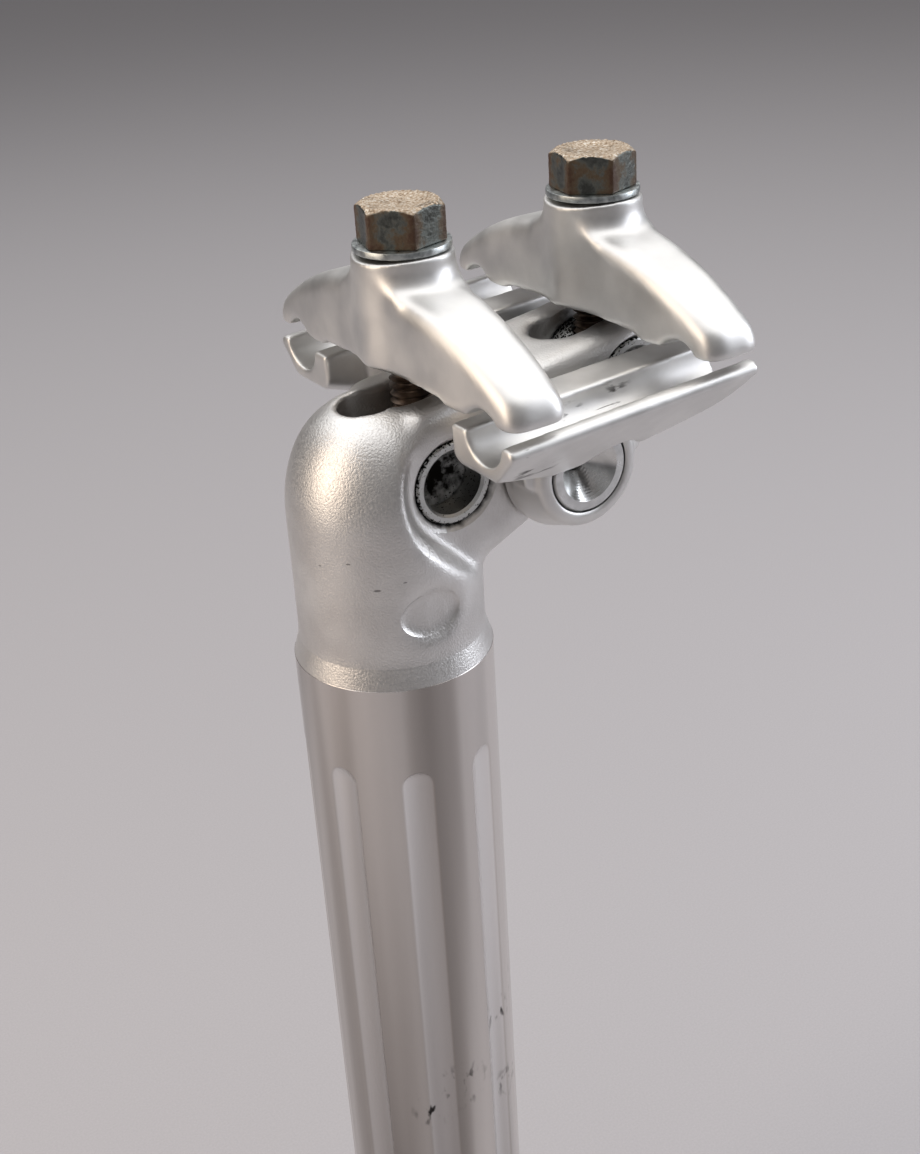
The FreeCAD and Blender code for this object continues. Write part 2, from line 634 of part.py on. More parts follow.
def make_clamp(label):
    body = new_body(label)
    half = new_sketch(body, "FrontView", "YZ_Plane")
    foot = "toe_drop"
    # the arms' bow is centred on the bolt, and the round end touches it from inside
    bow_z = "(arm_crown - arm_bow)"
    end_y = "(%s - lobe_radius)" % CLAMP_REACH
    end_rise = "sqrt((arm_bow - lobe_radius) ^ 2 - %s ^ 2)" % end_y
    grow = "arm_bow / (arm_bow - lobe_radius)"
    lobe_y = "(%s * %s)" % (end_y, grow)
    lobe_z = "%s + %s * %s" % (bow_z, end_rise, grow)
    right_half = [
        ("0", "arm_crown", "arm_bow", -1),
        (lobe_y, lobe_z, "lobe_radius", -1),
        (CLAMP_REACH, "%s + %s" % (bow_z, end_rise)),
        (CLAMP_REACH + " - toe_lean", foot),
        ("toe_inner + toe_round_out", foot, "toe_round", -1),
        ("toe_inner - toe_round_in", foot + " + toe_rise"),
        ("boss_radius", "arch_rise"),
    ]
    left_half = []
    for index in range(len(right_half) - 1, 0, -1):
        item = right_half[index]
        left_half.append(("0 - (%s)" % item[0], item[1]) + tuple(right_half[index - 1][2:]))
    outline(half, right_half + left_half)
    pad(body, "Bridge", half, "2 * boss_radius + 1", midplane=True)
    trim_plan(body, "Waist")

    def arm_edges(edge):
        mid = middle_of(edge)
        box = edge.BoundBox
        return (abs(mid.x) > 3.5 and box.XLength < 2.0 and box.YLength > 1.5
                and mid.z > size("toe_drop") + 2.0 and abs(mid.y) > size("boss_radius"))

    fillet(body, "ArmEdges", "arm_edge_radius", arm_edges)

    # the boss's flare runs out on the bow, and the plan trims its rim again
    flare_y = "(boss_radius + flare_radius)"
    flare_z = "(%s + sqrt((arm_bow + flare_radius) ^ 2 - %s ^ 2) - flare_sink)" % (bow_z, flare_y)
    share = "arm_bow / (arm_bow + flare_radius)"
    run_out = "%s * %s" % (flare_y, share)
    run_z = "%s + (%s - %s + flare_sink) * %s - flare_sink" % (bow_z, flare_z, bow_z, share)
    boss = new_sketch(body, "BossProfile", "XZ_Plane")
    outline(boss, [
        ("0", "arch_rise + 1"),
        (run_out, "arch_rise + 1"),
        (run_out, run_z, "flare_radius", -1),
        ("boss_radius", flare_z),
        ("boss_radius", "seat_rise + 1"),
        ("0", "seat_rise + 1"),
    ])
    turned(body, "Boss", boss)
    trim_plan(body, "Skirt")

    # the washer seat is bowed, so that the bolt can lean a little
    seat = new_sketch(body, "SeatProfile", "XZ_Plane")
    sag = "(seat_crown - sqrt(seat_crown ^ 2 - seat_reach ^ 2))"
    outline(seat, [
        ("seat_reach", "seat_rise - " + sag),
        ("seat_reach", "seat_rise + 3"),
        ("0 - seat_reach", "seat_rise + 3"),
        ("0 - seat_reach", "seat_rise - " + sag, "seat_crown", -1),
    ])
    pocket(body, "Seat", seat, "60", midplane=True)
    hole = new_sketch(body, "HoleProfile", "XY_Plane")
    slot(hole, "0", "clamp_hole_length", "clamp_hole")
    pocket(body, "BoltHole", hole, "80", midplane=True)
    for name, sign in (("LeftNotch", "0 - "), ("RightNotch", "")):
        notch = new_sketch(body, name + "Profile", "YZ_Plane",
                           turn_axis=Vector(1, 0, 0), turn="0 - saddle_tilt")
        circle(notch, sign + "rail_spacing / 2", "0", "rail_diameter / 2 + rail_gap")
        pocket(body, name, notch, "60", midplane=True)
    return body


def rail_height(x_text):
    """Height of the rail axis over a place along X."""
    rise = "rail_rise / cos(saddle_tilt) + (%s - pivot_x) * tan(saddle_tilt)" % x_text
    return "(%s + pivot_height + %s)" % (RING, rise)


# Fasteners

def make_washer(label, x_text):
    body = new_body(label)
    ring = new_sketch(body, "Ring", "XY_Plane")
    circle(ring, "0", "0", "washer_diameter / 2")
    circle(ring, "0", "0", "washer_bore / 2")
    pad(body, "Washer", ring, "washer_thickness")
    place(body, x_text, rail_height(x_text) + " + seat_rise + washer_gap")
    return body


def make_bolt(label, x_text, length, turn):
    body = new_body(label)
    shank = new_sketch(body, "ShankProfile", "XZ_Plane")
    radius = "thread_diameter / 2"
    outline(shank, [
        ("0", "0 - " + length),
        (radius + " - point_chamfer", "0 - " + length),
        (radius, "point_chamfer - " + length),
        (radius, "1"),
        ("0", "1"),
    ])
    turned(body, "Shank", shank)
    head = new_sketch(body, "HeadProfile", "XY_Plane", turn_axis=Vector(0, 0, 1), turn=turn)
    corner = "hex_width / 2 / cos(30)"
    outline(head, [("%s * cos(%d)" % (corner, 60 * k) if k else corner,
                    "%s * sin(%d)" % (corner, 60 * k) if k % 3 else "0") for k in range(6)])
    pad(body, "Head", head, "hex_height")

    # a turned cutter rounds the top corners and dishes the top
    trim = new_sketch(body, "TopProfile", "XZ_Plane")
    bow = "(dish_radius * dish_radius + dish_depth * dish_depth) / (2 * dish_depth)"
    outline(trim, [
        ("0", "hex_height - dish_depth", bow, 1),
        ("dish_radius", "hex_height"),
        ("hex_width / 2 - 0.15", "hex_height"),
        ("%s + 0.3" % corner, "hex_height - hex_chamfer"),
        ("%s + 0.3" % corner, "hex_height + 2"),
        ("0", "hex_height + 2"),
    ])
    turned(body, "Top", trim, "PartDesign::Groove")
    place(body, x_text, rail_height(x_text) + " + seat_rise + washer_gap + washer_thickness")
    return body


def make_barrel_nut(label, x_text, height_text):
    body = new_body(label)
    reach = "(web_width / 2 - nut_recess)"
    barrel = new_sketch(body, "BarrelProfile", "XZ_Plane")
    circle(barrel, "0", "0", "nut_diameter / 2")
    pad(body, "Barrel", barrel, "2 * " + reach, midplane=True)
    for side, backwards, sign in (("Left", True, ""), ("Right", False, "0 - ")):
        floor = new_sketch(body, side + "HollowProfile", "XZ_Plane",
                           offset=sign + "(%s - nut_hollow_depth)" % reach)
        circle(floor, "0", "0", "nut_hollow / 2")
        pocket(body, side + "Hollow", floor, "nut_hollow_depth + 1", backwards=backwards)
    hole = new_sketch(body, "ThreadProfile", "XY_Plane")
    circle(hole, "0", "0", "thread_bore / 2")
    pocket(body, "Thread", hole, "40", midplane=True)
    place(body, x_text, RING + " + " + height_text)
    return body


def make_pin():
    body = new_body("pivot_pin")
    reach = "(web_width / 2 + ear_gap + ear_length)"
    shank = new_sketch(body, "PinProfile", "XZ_Plane")
    circle(shank, "0", "0", "pin_diameter / 2")
    pad(body, "Pin", shank, "2 * " + reach, midplane=True)
    draft = "atan((pin_cone - pin_drill) / 2 / pin_cone_depth)"
    for side, backwards, sign in (("Left", True, ""), ("Right", False, "0 - ")):
        floor = new_sketch(body, side + "ConeProfile", "XZ_Plane",
                           offset=sign + "(%s - pin_cone_depth)" % reach)
        circle(floor, "0", "0", "pin_drill / 2")
        pocket(body, side + "Cone", floor, "pin_cone_depth", backwards=backwards, draft=draft)
        drill = new_sketch(body, side + "DrillProfile", "XZ_Plane",
                           offset=sign + "(%s - pin_cone_depth - 2)" % reach)
        circle(drill, "0", "0", "pin_drill / 2")
        pocket(body, side + "Drill", drill, "2.5", backwards=backwards)
    place(body, "pivot_x", RING + " + pivot_height")
    return body


# The whole post

pieces = [make_post()]
left_cradle = make_cradle()
pieces += [left_cradle, make_right_cradle(left_cradle), make_pin()]
for end, turn in (("front", "hex_turn_front"), ("rear", "hex_turn_rear")):
    bolt_x = end + "_bolt_x"
    clamp = make_clamp(end + "_clamp")
    place(clamp, bolt_x, rail_height(bolt_x))
    pieces += [clamp, make_washer(end + "_washer", bolt_x)]
    pieces += [make_bolt(end + "_bolt", bolt_x, end + "_bolt_length", turn)]
    pieces += [make_barrel_nut(end + "_barrel_nut", bolt_x, end + "_nut_height")]

doc.recompute()
for item in doc.Objects:
    if "Invalid" in item.State or "Error" in item.State:
        raise RuntimeError("%s did not recompute: %s" % (item.Name, item.State))

os.makedirs("parts", exist_ok=True)
for piece in pieces:
    shape = piece.Shape
    if shape.isNull() or not shape.isValid() or not shape.Solids:
        raise RuntimeError("%s has no valid solid" % piece.Label)
    shape.exportStep(os.path.join("parts", piece.Label + ".step"))
    box = shape.BoundBox
    print("%-18s %9.1f mm3  X %.1f %.1f  Y %.1f %.1f  Z %.1f %.1f" % (
        piece.Label, shape.Volume, box.XMin, box.XMax, box.YMin, box.YMax, box.ZMin, box.ZMax))
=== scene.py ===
import json
import math

import bpy
from mathutils import Matrix, Vector


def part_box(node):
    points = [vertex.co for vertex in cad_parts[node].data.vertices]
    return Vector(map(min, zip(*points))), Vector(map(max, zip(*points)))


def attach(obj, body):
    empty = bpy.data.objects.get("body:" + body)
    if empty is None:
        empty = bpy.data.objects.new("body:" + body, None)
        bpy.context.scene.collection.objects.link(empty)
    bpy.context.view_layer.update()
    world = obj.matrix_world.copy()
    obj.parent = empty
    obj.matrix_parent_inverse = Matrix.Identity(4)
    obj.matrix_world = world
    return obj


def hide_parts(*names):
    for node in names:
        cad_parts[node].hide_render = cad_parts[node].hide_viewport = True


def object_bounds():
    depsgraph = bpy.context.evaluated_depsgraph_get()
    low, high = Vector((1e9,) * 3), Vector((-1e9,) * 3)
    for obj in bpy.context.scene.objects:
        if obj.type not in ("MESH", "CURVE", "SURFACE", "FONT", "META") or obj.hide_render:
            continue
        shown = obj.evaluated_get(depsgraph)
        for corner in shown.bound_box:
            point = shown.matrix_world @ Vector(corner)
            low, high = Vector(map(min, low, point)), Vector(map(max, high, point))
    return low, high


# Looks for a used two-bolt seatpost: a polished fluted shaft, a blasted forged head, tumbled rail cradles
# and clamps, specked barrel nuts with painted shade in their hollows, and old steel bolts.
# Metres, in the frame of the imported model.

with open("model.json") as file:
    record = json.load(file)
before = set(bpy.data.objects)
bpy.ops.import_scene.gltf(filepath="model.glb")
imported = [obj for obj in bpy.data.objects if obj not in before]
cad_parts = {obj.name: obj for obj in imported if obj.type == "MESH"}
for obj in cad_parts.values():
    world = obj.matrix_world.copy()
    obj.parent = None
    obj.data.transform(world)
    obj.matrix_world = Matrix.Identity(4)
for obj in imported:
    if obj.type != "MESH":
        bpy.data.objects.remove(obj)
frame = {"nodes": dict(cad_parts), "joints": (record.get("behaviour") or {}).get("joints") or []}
cadLow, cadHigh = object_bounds()
nodes = frame["nodes"]
joints = {joint["name"]: joint for joint in frame["joints"]}
mm = 0.001
pivotPlace = Vector(joints["saddle_tilt"]["pos_m"])
frontNutPlace = Vector(joints["front_nut_swing"]["pos_m"])
rearNutPlace = Vector(joints["rear_nut_swing"]["pos_m"])
print("frame loaded:", len(nodes), "nodes")


# Tools

def colour(text):  # sRGB hex to the linear values that sockets take
    parts = [int(text[i:i + 2], 16) / 255 for i in (0, 2, 4)]
    return tuple([c / 12.92 if c <= 0.04045 else ((c + 0.055) / 1.055) ** 2.4 for c in parts] + [1.0])


def addNode(tree, kind, settings=None, **links):
    # settings are the node's own; a link names a socket, or s and its number, and gives a value or an output
    node = tree.nodes.new(kind)
    for name, item in (settings or {}).items():
        if name != "stops":
            setattr(node, name, item)
            continue
        elements = node.color_ramp.elements
        while len(elements) < len(item):
            elements.new(0.5)
        for element, (place, tint) in zip(elements, item):
            element.position = place
            element.color = colour(tint)
    for name, item in links.items():
        key = int(name[1:]) if name[1:].isdigit() else name.replace("_", " ")
        socket = node.inputs[key]
        if isinstance(item, bpy.types.NodeSocket):
            tree.links.new(item, socket)
        else:
            socket.default_value = item
    return node


def newMaterial(name):
    material = bpy.data.materials.new(name)
    material.use_nodes = True
    material.node_tree.nodes.clear()
    return material, material.node_tree


def dress(piece, material):
    piece.data.materials.clear()
    piece.data.materials.append(material)


def pickOnly(piece):
    bpy.ops.object.select_all(action="DESELECT")
    piece.select_set(True)
    bpy.context.view_layer.objects.active = piece


def finishPiece(piece, name, body, material, standsFor):
    piece.name = name
    piece.data.name = name
    dress(piece, material)
    pickOnly(piece)
    bpy.ops.object.transform_apply(location=True, rotation=True, scale=True)
    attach(piece, body)
    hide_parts(standsFor)
    print("made", name, len(piece.data.polygons), "faces")


def editAll(piece):
    pickOnly(piece)
    bpy.ops.object.mode_set(mode="EDIT")
    bpy.ops.mesh.select_all(action="SELECT")


def mergedCopy(nodeName):  # a CAD node's own mesh stays as it is, so the work is done on a copy
    piece = bpy.data.objects.new(nodeName + "Copy", nodes[nodeName].data.copy())
    bpy.context.scene.collection.objects.link(piece)
    pickOnly(piece)
    bpy.ops.mesh.customdata_custom_splitnormals_clear()
    editAll(piece)
    bpy.ops.mesh.remove_doubles(threshold=0.001 * mm)
    bpy.ops.object.mode_set(mode="OBJECT")
    return piece


def useModifier(piece, kind, **settings):
    pickOnly(piece)
    modifier = piece.modifiers.new(kind.title(), kind)
    for name, item in settings.items():
        setattr(modifier, name, item)
    bpy.ops.object.modifier_apply(modifier=modifier.name)


def carve(piece, cutter, operation="DIFFERENCE"):
    useModifier(piece, "BOOLEAN", object=cutter, operation=operation, solver="EXACT")
    bpy.data.objects.remove(cutter)


def toVoxels(piece, voxel):
    useModifier(piece, "REMESH", mode="VOXEL", voxel_size=voxel * mm, use_smooth_shade=True)


def soften(piece, voxel, passes):  # forged and tumbled edges: fine voxels, then smoothed
    toVoxels(piece, voxel)
    useModifier(piece, "SMOOTH", factor=0.5, iterations=passes)


def smoothShade(piece, degrees):
    pickOnly(piece)
    bpy.ops.object.shade_smooth_by_angle(angle=math.radians(degrees))


def turnedShape(profile, steps=128):
    # the profile's (radius, height) corners in millimetres, drawn by extruding one point and spun about Z
    bpy.ops.object.select_all(action="DESELECT")
    bpy.ops.mesh.primitive_plane_add(size=mm)
    piece = bpy.context.object
    bpy.ops.object.mode_set(mode="EDIT")
    bpy.ops.mesh.merge(type="CENTER")
    bpy.ops.transform.translate(value=(profile[0][0] * mm, 0, profile[0][1] * mm))
    for (fromRadius, fromHeight), (toRadius, toHeight) in zip(profile, profile[1:]):
        step = ((toRadius - fromRadius) * mm, 0, (toHeight - fromHeight) * mm)
        bpy.ops.mesh.extrude_vertices_move(TRANSFORM_OT_translate={"value": step})
    bpy.ops.mesh.select_all(action="SELECT")
    bpy.ops.mesh.spin(steps=steps, angle=2 * math.pi, center=(0, 0, 0), axis=(0, 0, 1))
    bpy.ops.mesh.select_all(action="SELECT")
    bpy.ops.mesh.remove_doubles(threshold=0.002 * mm)
    bpy.ops.mesh.normals_make_consistent(inside=False)
    bpy.ops.object.mode_set(mode="OBJECT")
    return piece


def putPiece(piece, place, turn=(0, 0, 0)):  # moves and turns a piece, then works that into its mesh
    pickOnly(piece)
    piece.location = place
    piece.rotation_euler = [math.radians(angle) for angle in turn]
    bpy.ops.object.transform_apply(location=True, rotation=True, scale=True)
    return piece


def pickVertices(piece, wanted):
    bpy.ops.object.mode_set(mode="OBJECT")
    for vertex in piece.data.vertices:
        vertex.select = wanted(vertex.co)
    for edge in piece.data.edges:
        edge.select = all(piece.data.vertices[i].select for i in edge.vertices)
    for face in piece.data.polygons:
        face.select = all(piece.data.vertices[i].select for i in face.vertices)
    bpy.ops.object.mode_set(mode="EDIT")


# Camera at the photograph's viewing angle, for a 920 x 1154 picture

cameraFacts = {"focalPixels": 1565, "pictureHeight": 1154, "azimuth": 32.16, "elevation": 27.72,
               "roll": 3.476, "distance": 0.21587, "target": (0.010884, -0.000606, 0.186273),
               "sensor": 36, "nearest": 0.01}


def makeCamera():
    a, e, roll = (math.radians(cameraFacts[k]) for k in ("azimuth", "elevation", "roll"))
    back = Vector((-math.sin(a) * math.cos(e), -math.cos(a) * math.cos(e), math.sin(e)))
    right = Vector((math.cos(a), -math.sin(a), 0))
    up = back.cross(right)
    tiltedRight = right * math.cos(roll) - up * math.sin(roll)
    tiltedUp = right * math.sin(roll) + up * math.cos(roll)
    place = Vector(cameraFacts["target"]) + back * cameraFacts["distance"]
    bpy.ops.object.camera_add()
    camera = bpy.context.object
    camera.data.sensor_width = cameraFacts["sensor"]
    camera.data.lens = cameraFacts["sensor"] * cameraFacts["focalPixels"] / cameraFacts["pictureHeight"]
    camera.data.clip_start = cameraFacts["nearest"]
    camera.matrix_world = Matrix((
        (tiltedRight.x, tiltedUp.x, back.x, place.x),
        (tiltedRight.y, tiltedUp.y, back.y, place.y),
        (tiltedRight.z, tiltedUp.z, back.z, place.z),
        (0, 0, 0, 1)))
    bpy.context.scene.camera = camera


bpy.ops.object.select_all(action="DESELECT")
makeCamera()
print("camera set")


# Materials

def markMask(tree, coords, place, radius, soft):
    # 1 round one place out to the share soft of the radius, then fading to 0 at the radius
    gap = addNode(tree, "ShaderNodeVectorMath", {"operation": "DISTANCE"}, s0=coords, s1=tuple(place))
    return addNode(tree, "ShaderNodeMapRange", Value=gap.outputs["Value"], From_Min=radius * soft,
                   From_Max=radius, To_Min=1.0, To_Max=0.0).outputs["Result"]


def axisDistance(tree, coords, centre, across):
    # distance from an axis through the centre, measured in the two directions that across keeps
    moved = addNode(tree, "ShaderNodeMapping", Vector=coords, Scale=across,
                    Location=tuple(-centre * Vector(across)))
    return addNode(tree, "ShaderNodeVectorMath", {"operation": "LENGTH"},
                   s0=moved.outputs["Vector"]).outputs["Value"]


def wornSpots(tree, coords, spots, soft, broken):
    # marks in millimetres, broken up by a second mask
    zone = None
    for place, radius in spots:
        mark = markMask(tree, coords, Vector(place) * mm, radius * mm, soft)
        zone = mark if zone is None else addNode(
            tree, "ShaderNodeMath", {"operation": "MAXIMUM"}, s0=zone, s1=mark).outputs["Value"]
    return addNode(tree, "ShaderNodeMath", {"operation": "MULTIPLY"}, s0=zone, s1=broken).outputs["Value"]


def giveShader(tree, **inputs):
    shader = addNode(tree, "ShaderNodeBsdfPrincipled", **inputs)
    addNode(tree, "ShaderNodeOutputMaterial", Surface=shader.outputs["BSDF"])


acrossY = (1, 0, 1)
acrossZ = (1, 1, 0)
nickStretch = (1, 1, 3)
# places and radii of single marks, in millimetres
nickPlaces = [((-7.5, -10.2, 194.4), 0.6), ((-4.4, -12.0, 195.2), 0.36), ((-10.0, -7.8, 198.0), 0.4),
              ((-12.0, -4.0, 197.0), 0.3)]
scuffPlaces = [((-2.0, -13.4, 109.0), 5.0), ((-6.5, -12.0, 105.0), 4.0), ((6.0, -12.2, 118.0), 3.5),
               ((9.5, -9.7, 122.0), 3.0), ((8.0, -11.0, 103.0), 4.0)]
wearPlaces = [((24.0, -19.5, 214.6), 3.2), ((17.0, -19.5, 214.3), 2.2), ((6.5, -24.0, 211.8), 2.6),
              ((9.5, -23.5, 211.6), 2.2), ((4.0, -27.4, 215.6), 0.7)]


def blastedAluminium():
    # forged aluminium, bead blasted and anodised: soft silver with a fine sparkle, no clear reflections
    material, tree = newMaterial("blastedAluminium")
    coords = addNode(tree, "ShaderNodeTexCoord").outputs["Object"]
    # bead marks are 0.1 mm across, drawn at 0.28 mm so that they show
    grain = addNode(tree, "ShaderNodeTexNoise", Vector=coords, Scale=3600.0, Detail=1.0).outputs["Fac"]
    # hand wear drifts over 8 mm
    cloud = addNode(tree, "ShaderNodeTexNoise", Vector=coords, Scale=125.0, Detail=4.0).outputs["Fac"]
    tint = addNode(tree, "ShaderNodeValToRGB", {"stops": [(0.3, "CFCDCB"), (0.7, "E2E1DF")]},
                   Fac=cloud).outputs["Color"]
    # painted shade darkens the lead-in round each nut, and small nicks are dark marks
    front = axisDistance(tree, coords, frontNutPlace, acrossY)
    rear = axisDistance(tree, coords, rearNutPlace, acrossY)
    near = addNode(tree, "ShaderNodeMath", {"operation": "MINIMUM"}, s0=front, s1=rear).outputs["Value"]
    wavy = addNode(tree, "ShaderNodeTexNoise", Vector=coords, Scale=700.0, Detail=3.0).outputs["Fac"]
    edge = addNode(tree, "ShaderNodeMath", {"operation": "MULTIPLY_ADD"}, s0=wavy, s1=-0.9 * mm,
                   s2=near).outputs["Value"]
    shadeAndNicks = addNode(tree, "ShaderNodeMapRange", Value=edge, From_Min=5.25 * mm, From_Max=5.75 * mm,
                    To_Min=0.95, To_Max=0.0).outputs["Result"]
    # nicks are dashes, three times as long as they are high
    flat = addNode(tree, "ShaderNodeMapping", Vector=coords, Scale=nickStretch).outputs["Vector"]
    for place, radius in nickPlaces:
        mark = markMask(tree, flat, Vector(place) * Vector(nickStretch) * mm, radius * mm, 0.6)
        faint = addNode(tree, "ShaderNodeMath", {"operation": "MULTIPLY"}, s0=mark, s1=0.6).outputs["Value"]
        shadeAndNicks = addNode(tree, "ShaderNodeMath", {"operation": "MAXIMUM"}, s0=shadeAndNicks, s1=faint).outputs["Value"]
    # the dark colour is painted shade in the lead-ins and the real dark nicks
    tint = addNode(tree, "ShaderNodeMix", {"data_type": "RGBA"}, Factor=shadeAndNicks, s6=tint,
                   s7=colour("1E1C1A")).outputs[2]
    rough = addNode(tree, "ShaderNodeMapRange", Value=grain, From_Min=0.3, From_Max=0.7,
                    To_Min=0.36, To_Max=0.5).outputs["Result"]
    bump = addNode(tree, "ShaderNodeBump", Height=grain, Strength=0.9, Distance=0.055 * mm)
    giveShader(tree, Base_Color=tint, Metallic=1.0, Roughness=rough, Normal=bump.outputs["Normal"])
    return material


def polishedAluminium():
    # drawn tube, polished lengthwise and anodised: clear long reflections with a faint haze and scuffs
    material, tree = newMaterial("polishedAluminium")
    coords = addNode(tree, "ShaderNodeTexCoord").outputs["Object"]
    # polishing streaks are 0.5 mm wide and about 10 mm long
    stretched = addNode(tree, "ShaderNodeMapping", Vector=coords, Scale=(1, 1, 0.05)).outputs["Vector"]
    streak = addNode(tree, "ShaderNodeTexNoise", Vector=stretched, Scale=2000.0, Detail=2.0).outputs["Fac"]
    # the polishing belt left lengthwise bands 8 mm wide, and their tones from bright to cloudy are painted
    # reflections
    long = addNode(tree, "ShaderNodeMapping", Vector=coords, Scale=(1, 1, 0.03)).outputs["Vector"]
    bandsAndPaintedReflection = addNode(tree, "ShaderNodeTexNoise", Vector=long, Scale=125.0, Detail=1.5).outputs["Fac"]
    tint = addNode(tree, "ShaderNodeValToRGB", {"stops": [
        (0.34, "ACA8A6"), (0.46, "CBC8C6"), (0.54, "E6E4E3"), (0.64, "F8F6F5")]}, Fac=bandsAndPaintedReflection).outputs["Color"]
    # painted sheen: the lands, past 13.4 mm from the axis, are darkened so that the flutes' floors stay
    # bright
    reach = axisDistance(tree, coords, Vector((0, 0, 0)), acrossZ)
    land = addNode(tree, "ShaderNodeMapRange", Value=reach, From_Min=13.36 * mm,
                   From_Max=13.56 * mm).outputs["Result"]
    tint = addNode(tree, "ShaderNodeMix", {"data_type": "RGBA", "blend_type": "MULTIPLY"}, Factor=land,
                   s6=tint, s7=colour("E2DFDC")).outputs[2]
    # rubber from the frame's clamp: short broken smears low on the shaft
    smear = addNode(tree, "ShaderNodeMapping", Vector=coords, Scale=(1, 1, 0.45)).outputs["Vector"]
    broken = addNode(tree, "ShaderNodeTexNoise", Vector=smear, Scale=900.0, Detail=4.0).outputs["Fac"]
    patchy = addNode(tree, "ShaderNodeMapRange", Value=broken, From_Min=0.56, From_Max=0.66).outputs["Result"]
    scuff = wornSpots(tree, coords, scuffPlaces, 0.2, patchy)
    tint = addNode(tree, "ShaderNodeMix", {"data_type": "RGBA"}, Factor=scuff, s6=tint,
                   s7=colour("2A2726")).outputs[2]
    rough = addNode(tree, "ShaderNodeMapRange", Value=streak, From_Min=0.3, From_Max=0.7,
                    To_Min=0.16, To_Max=0.27).outputs["Result"]
    bump = addNode(tree, "ShaderNodeBump", Height=streak, Strength=0.2, Distance=0.014 * mm)
    giveShader(tree, Base_Color=tint, Metallic=1.0, Roughness=rough, Normal=bump.outputs["Normal"])
    return material


def tumbledAluminium():
    # forged aluminium, tumbled and polished by use: satin highlights, hazy patches, fine rub marks
    material, tree = newMaterial("tumbledAluminium")
    coords = addNode(tree, "ShaderNodeTexCoord").outputs["Object"]
    # hazy patches of 6 mm, rub marks of 0.3 mm
    cloud = addNode(tree, "ShaderNodeTexNoise", Vector=coords, Scale=160.0, Detail=4.0).outputs["Fac"]
    rub = addNode(tree, "ShaderNodeTexNoise", Vector=coords, Scale=3300.0, Detail=2.0).outputs["Fac"]
    tint = addNode(tree, "ShaderNodeValToRGB", {"stops": [(0.3, "CFCECC"), (0.65, "E2E1DF")]},
                   Fac=cloud).outputs["Color"]
    # black wear in the trough and on the near cradle's belly, broken up along the rail
    along = addNode(tree, "ShaderNodeMapping", Vector=coords, Scale=(0.35, 1.3, 1)).outputs["Vector"]
    broken = addNode(tree, "ShaderNodeTexNoise", Vector=along, Scale=900.0, Detail=5.0).outputs["Fac"]
    patchy = addNode(tree, "ShaderNodeMapRange", Value=broken, From_Min=0.54, From_Max=0.62).outputs["Result"]
    wear = wornSpots(tree, coords, wearPlaces, 0.3, patchy)
    tint = addNode(tree, "ShaderNodeMix", {"data_type": "RGBA"}, Factor=wear, s6=tint,
                   s7=colour("35322F")).outputs[2]
    rough = addNode(tree, "ShaderNodeMapRange", Value=cloud, From_Min=0.3, From_Max=0.7,
                    To_Min=0.37, To_Max=0.5).outputs["Result"]
    bump = addNode(tree, "ShaderNodeBump", Height=rub, Strength=0.2, Distance=0.02 * mm)
    giveShader(tree, Base_Color=tint, Metallic=1.0, Roughness=rough, Normal=bump.outputs["Normal"])
    return material


def turnedSteel():
    # pivot pin: bright turned steel, its face shows the lathe's fine rings
    material, tree = newMaterial("turnedSteel")
    coords = addNode(tree, "ShaderNodeTexCoord").outputs["Object"]
    reach = axisDistance(tree, coords, pivotPlace, acrossY)
    cloud = addNode(tree, "ShaderNodeTexNoise", Vector=coords, Scale=500.0, Detail=4.0).outputs["Fac"]
    # tool marks 0.2 mm apart, drawn at 0.3 mm so that they show, and unevenly deep
    rings = addNode(tree, "ShaderNodeMath", {"operation": "SINE"}, s0=addNode(
        tree, "ShaderNodeMath", {"operation": "MULTIPLY"}, s0=reach,
        s1=2 * math.pi / (0.3 * mm)).outputs["Value"]).outputs["Value"]
    uneven = addNode(tree, "ShaderNodeMath", {"operation": "MULTIPLY"}, s0=rings, s1=cloud).outputs["Value"]
    tint = addNode(tree, "ShaderNodeValToRGB", {"stops": [(0.35, "BFC0BF"), (0.65, "DCDDDC")]},
                   Fac=cloud).outputs["Color"]
    # painted shade darkens the bottom of the cone and the gap round the pin
    coneAndGapShade = addNode(tree, "ShaderNodeValToRGB", {"stops": [
        (0.1, "4A4743"), (0.24, "FFFFFF"), (0.93, "FFFFFF"), (0.98, "3A3835")]},
        Fac=addNode(tree, "ShaderNodeMapRange", Value=reach, From_Max=5.9 * mm).outputs["Result"])
    tint = addNode(tree, "ShaderNodeMix", {"data_type": "RGBA", "blend_type": "MULTIPLY"}, Factor=0.9,
                   s6=tint, s7=coneAndGapShade.outputs["Color"]).outputs[2]
    rough = addNode(tree, "ShaderNodeMapRange", Value=cloud, From_Min=0.3, From_Max=0.7,
                    To_Min=0.12, To_Max=0.3).outputs["Result"]
    bump = addNode(tree, "ShaderNodeBump", Height=uneven, Strength=0.35, Distance=0.012 * mm)
    giveShader(tree, Base_Color=tint, Metallic=1.0, Roughness=rough, Normal=bump.outputs["Normal"])
    return material


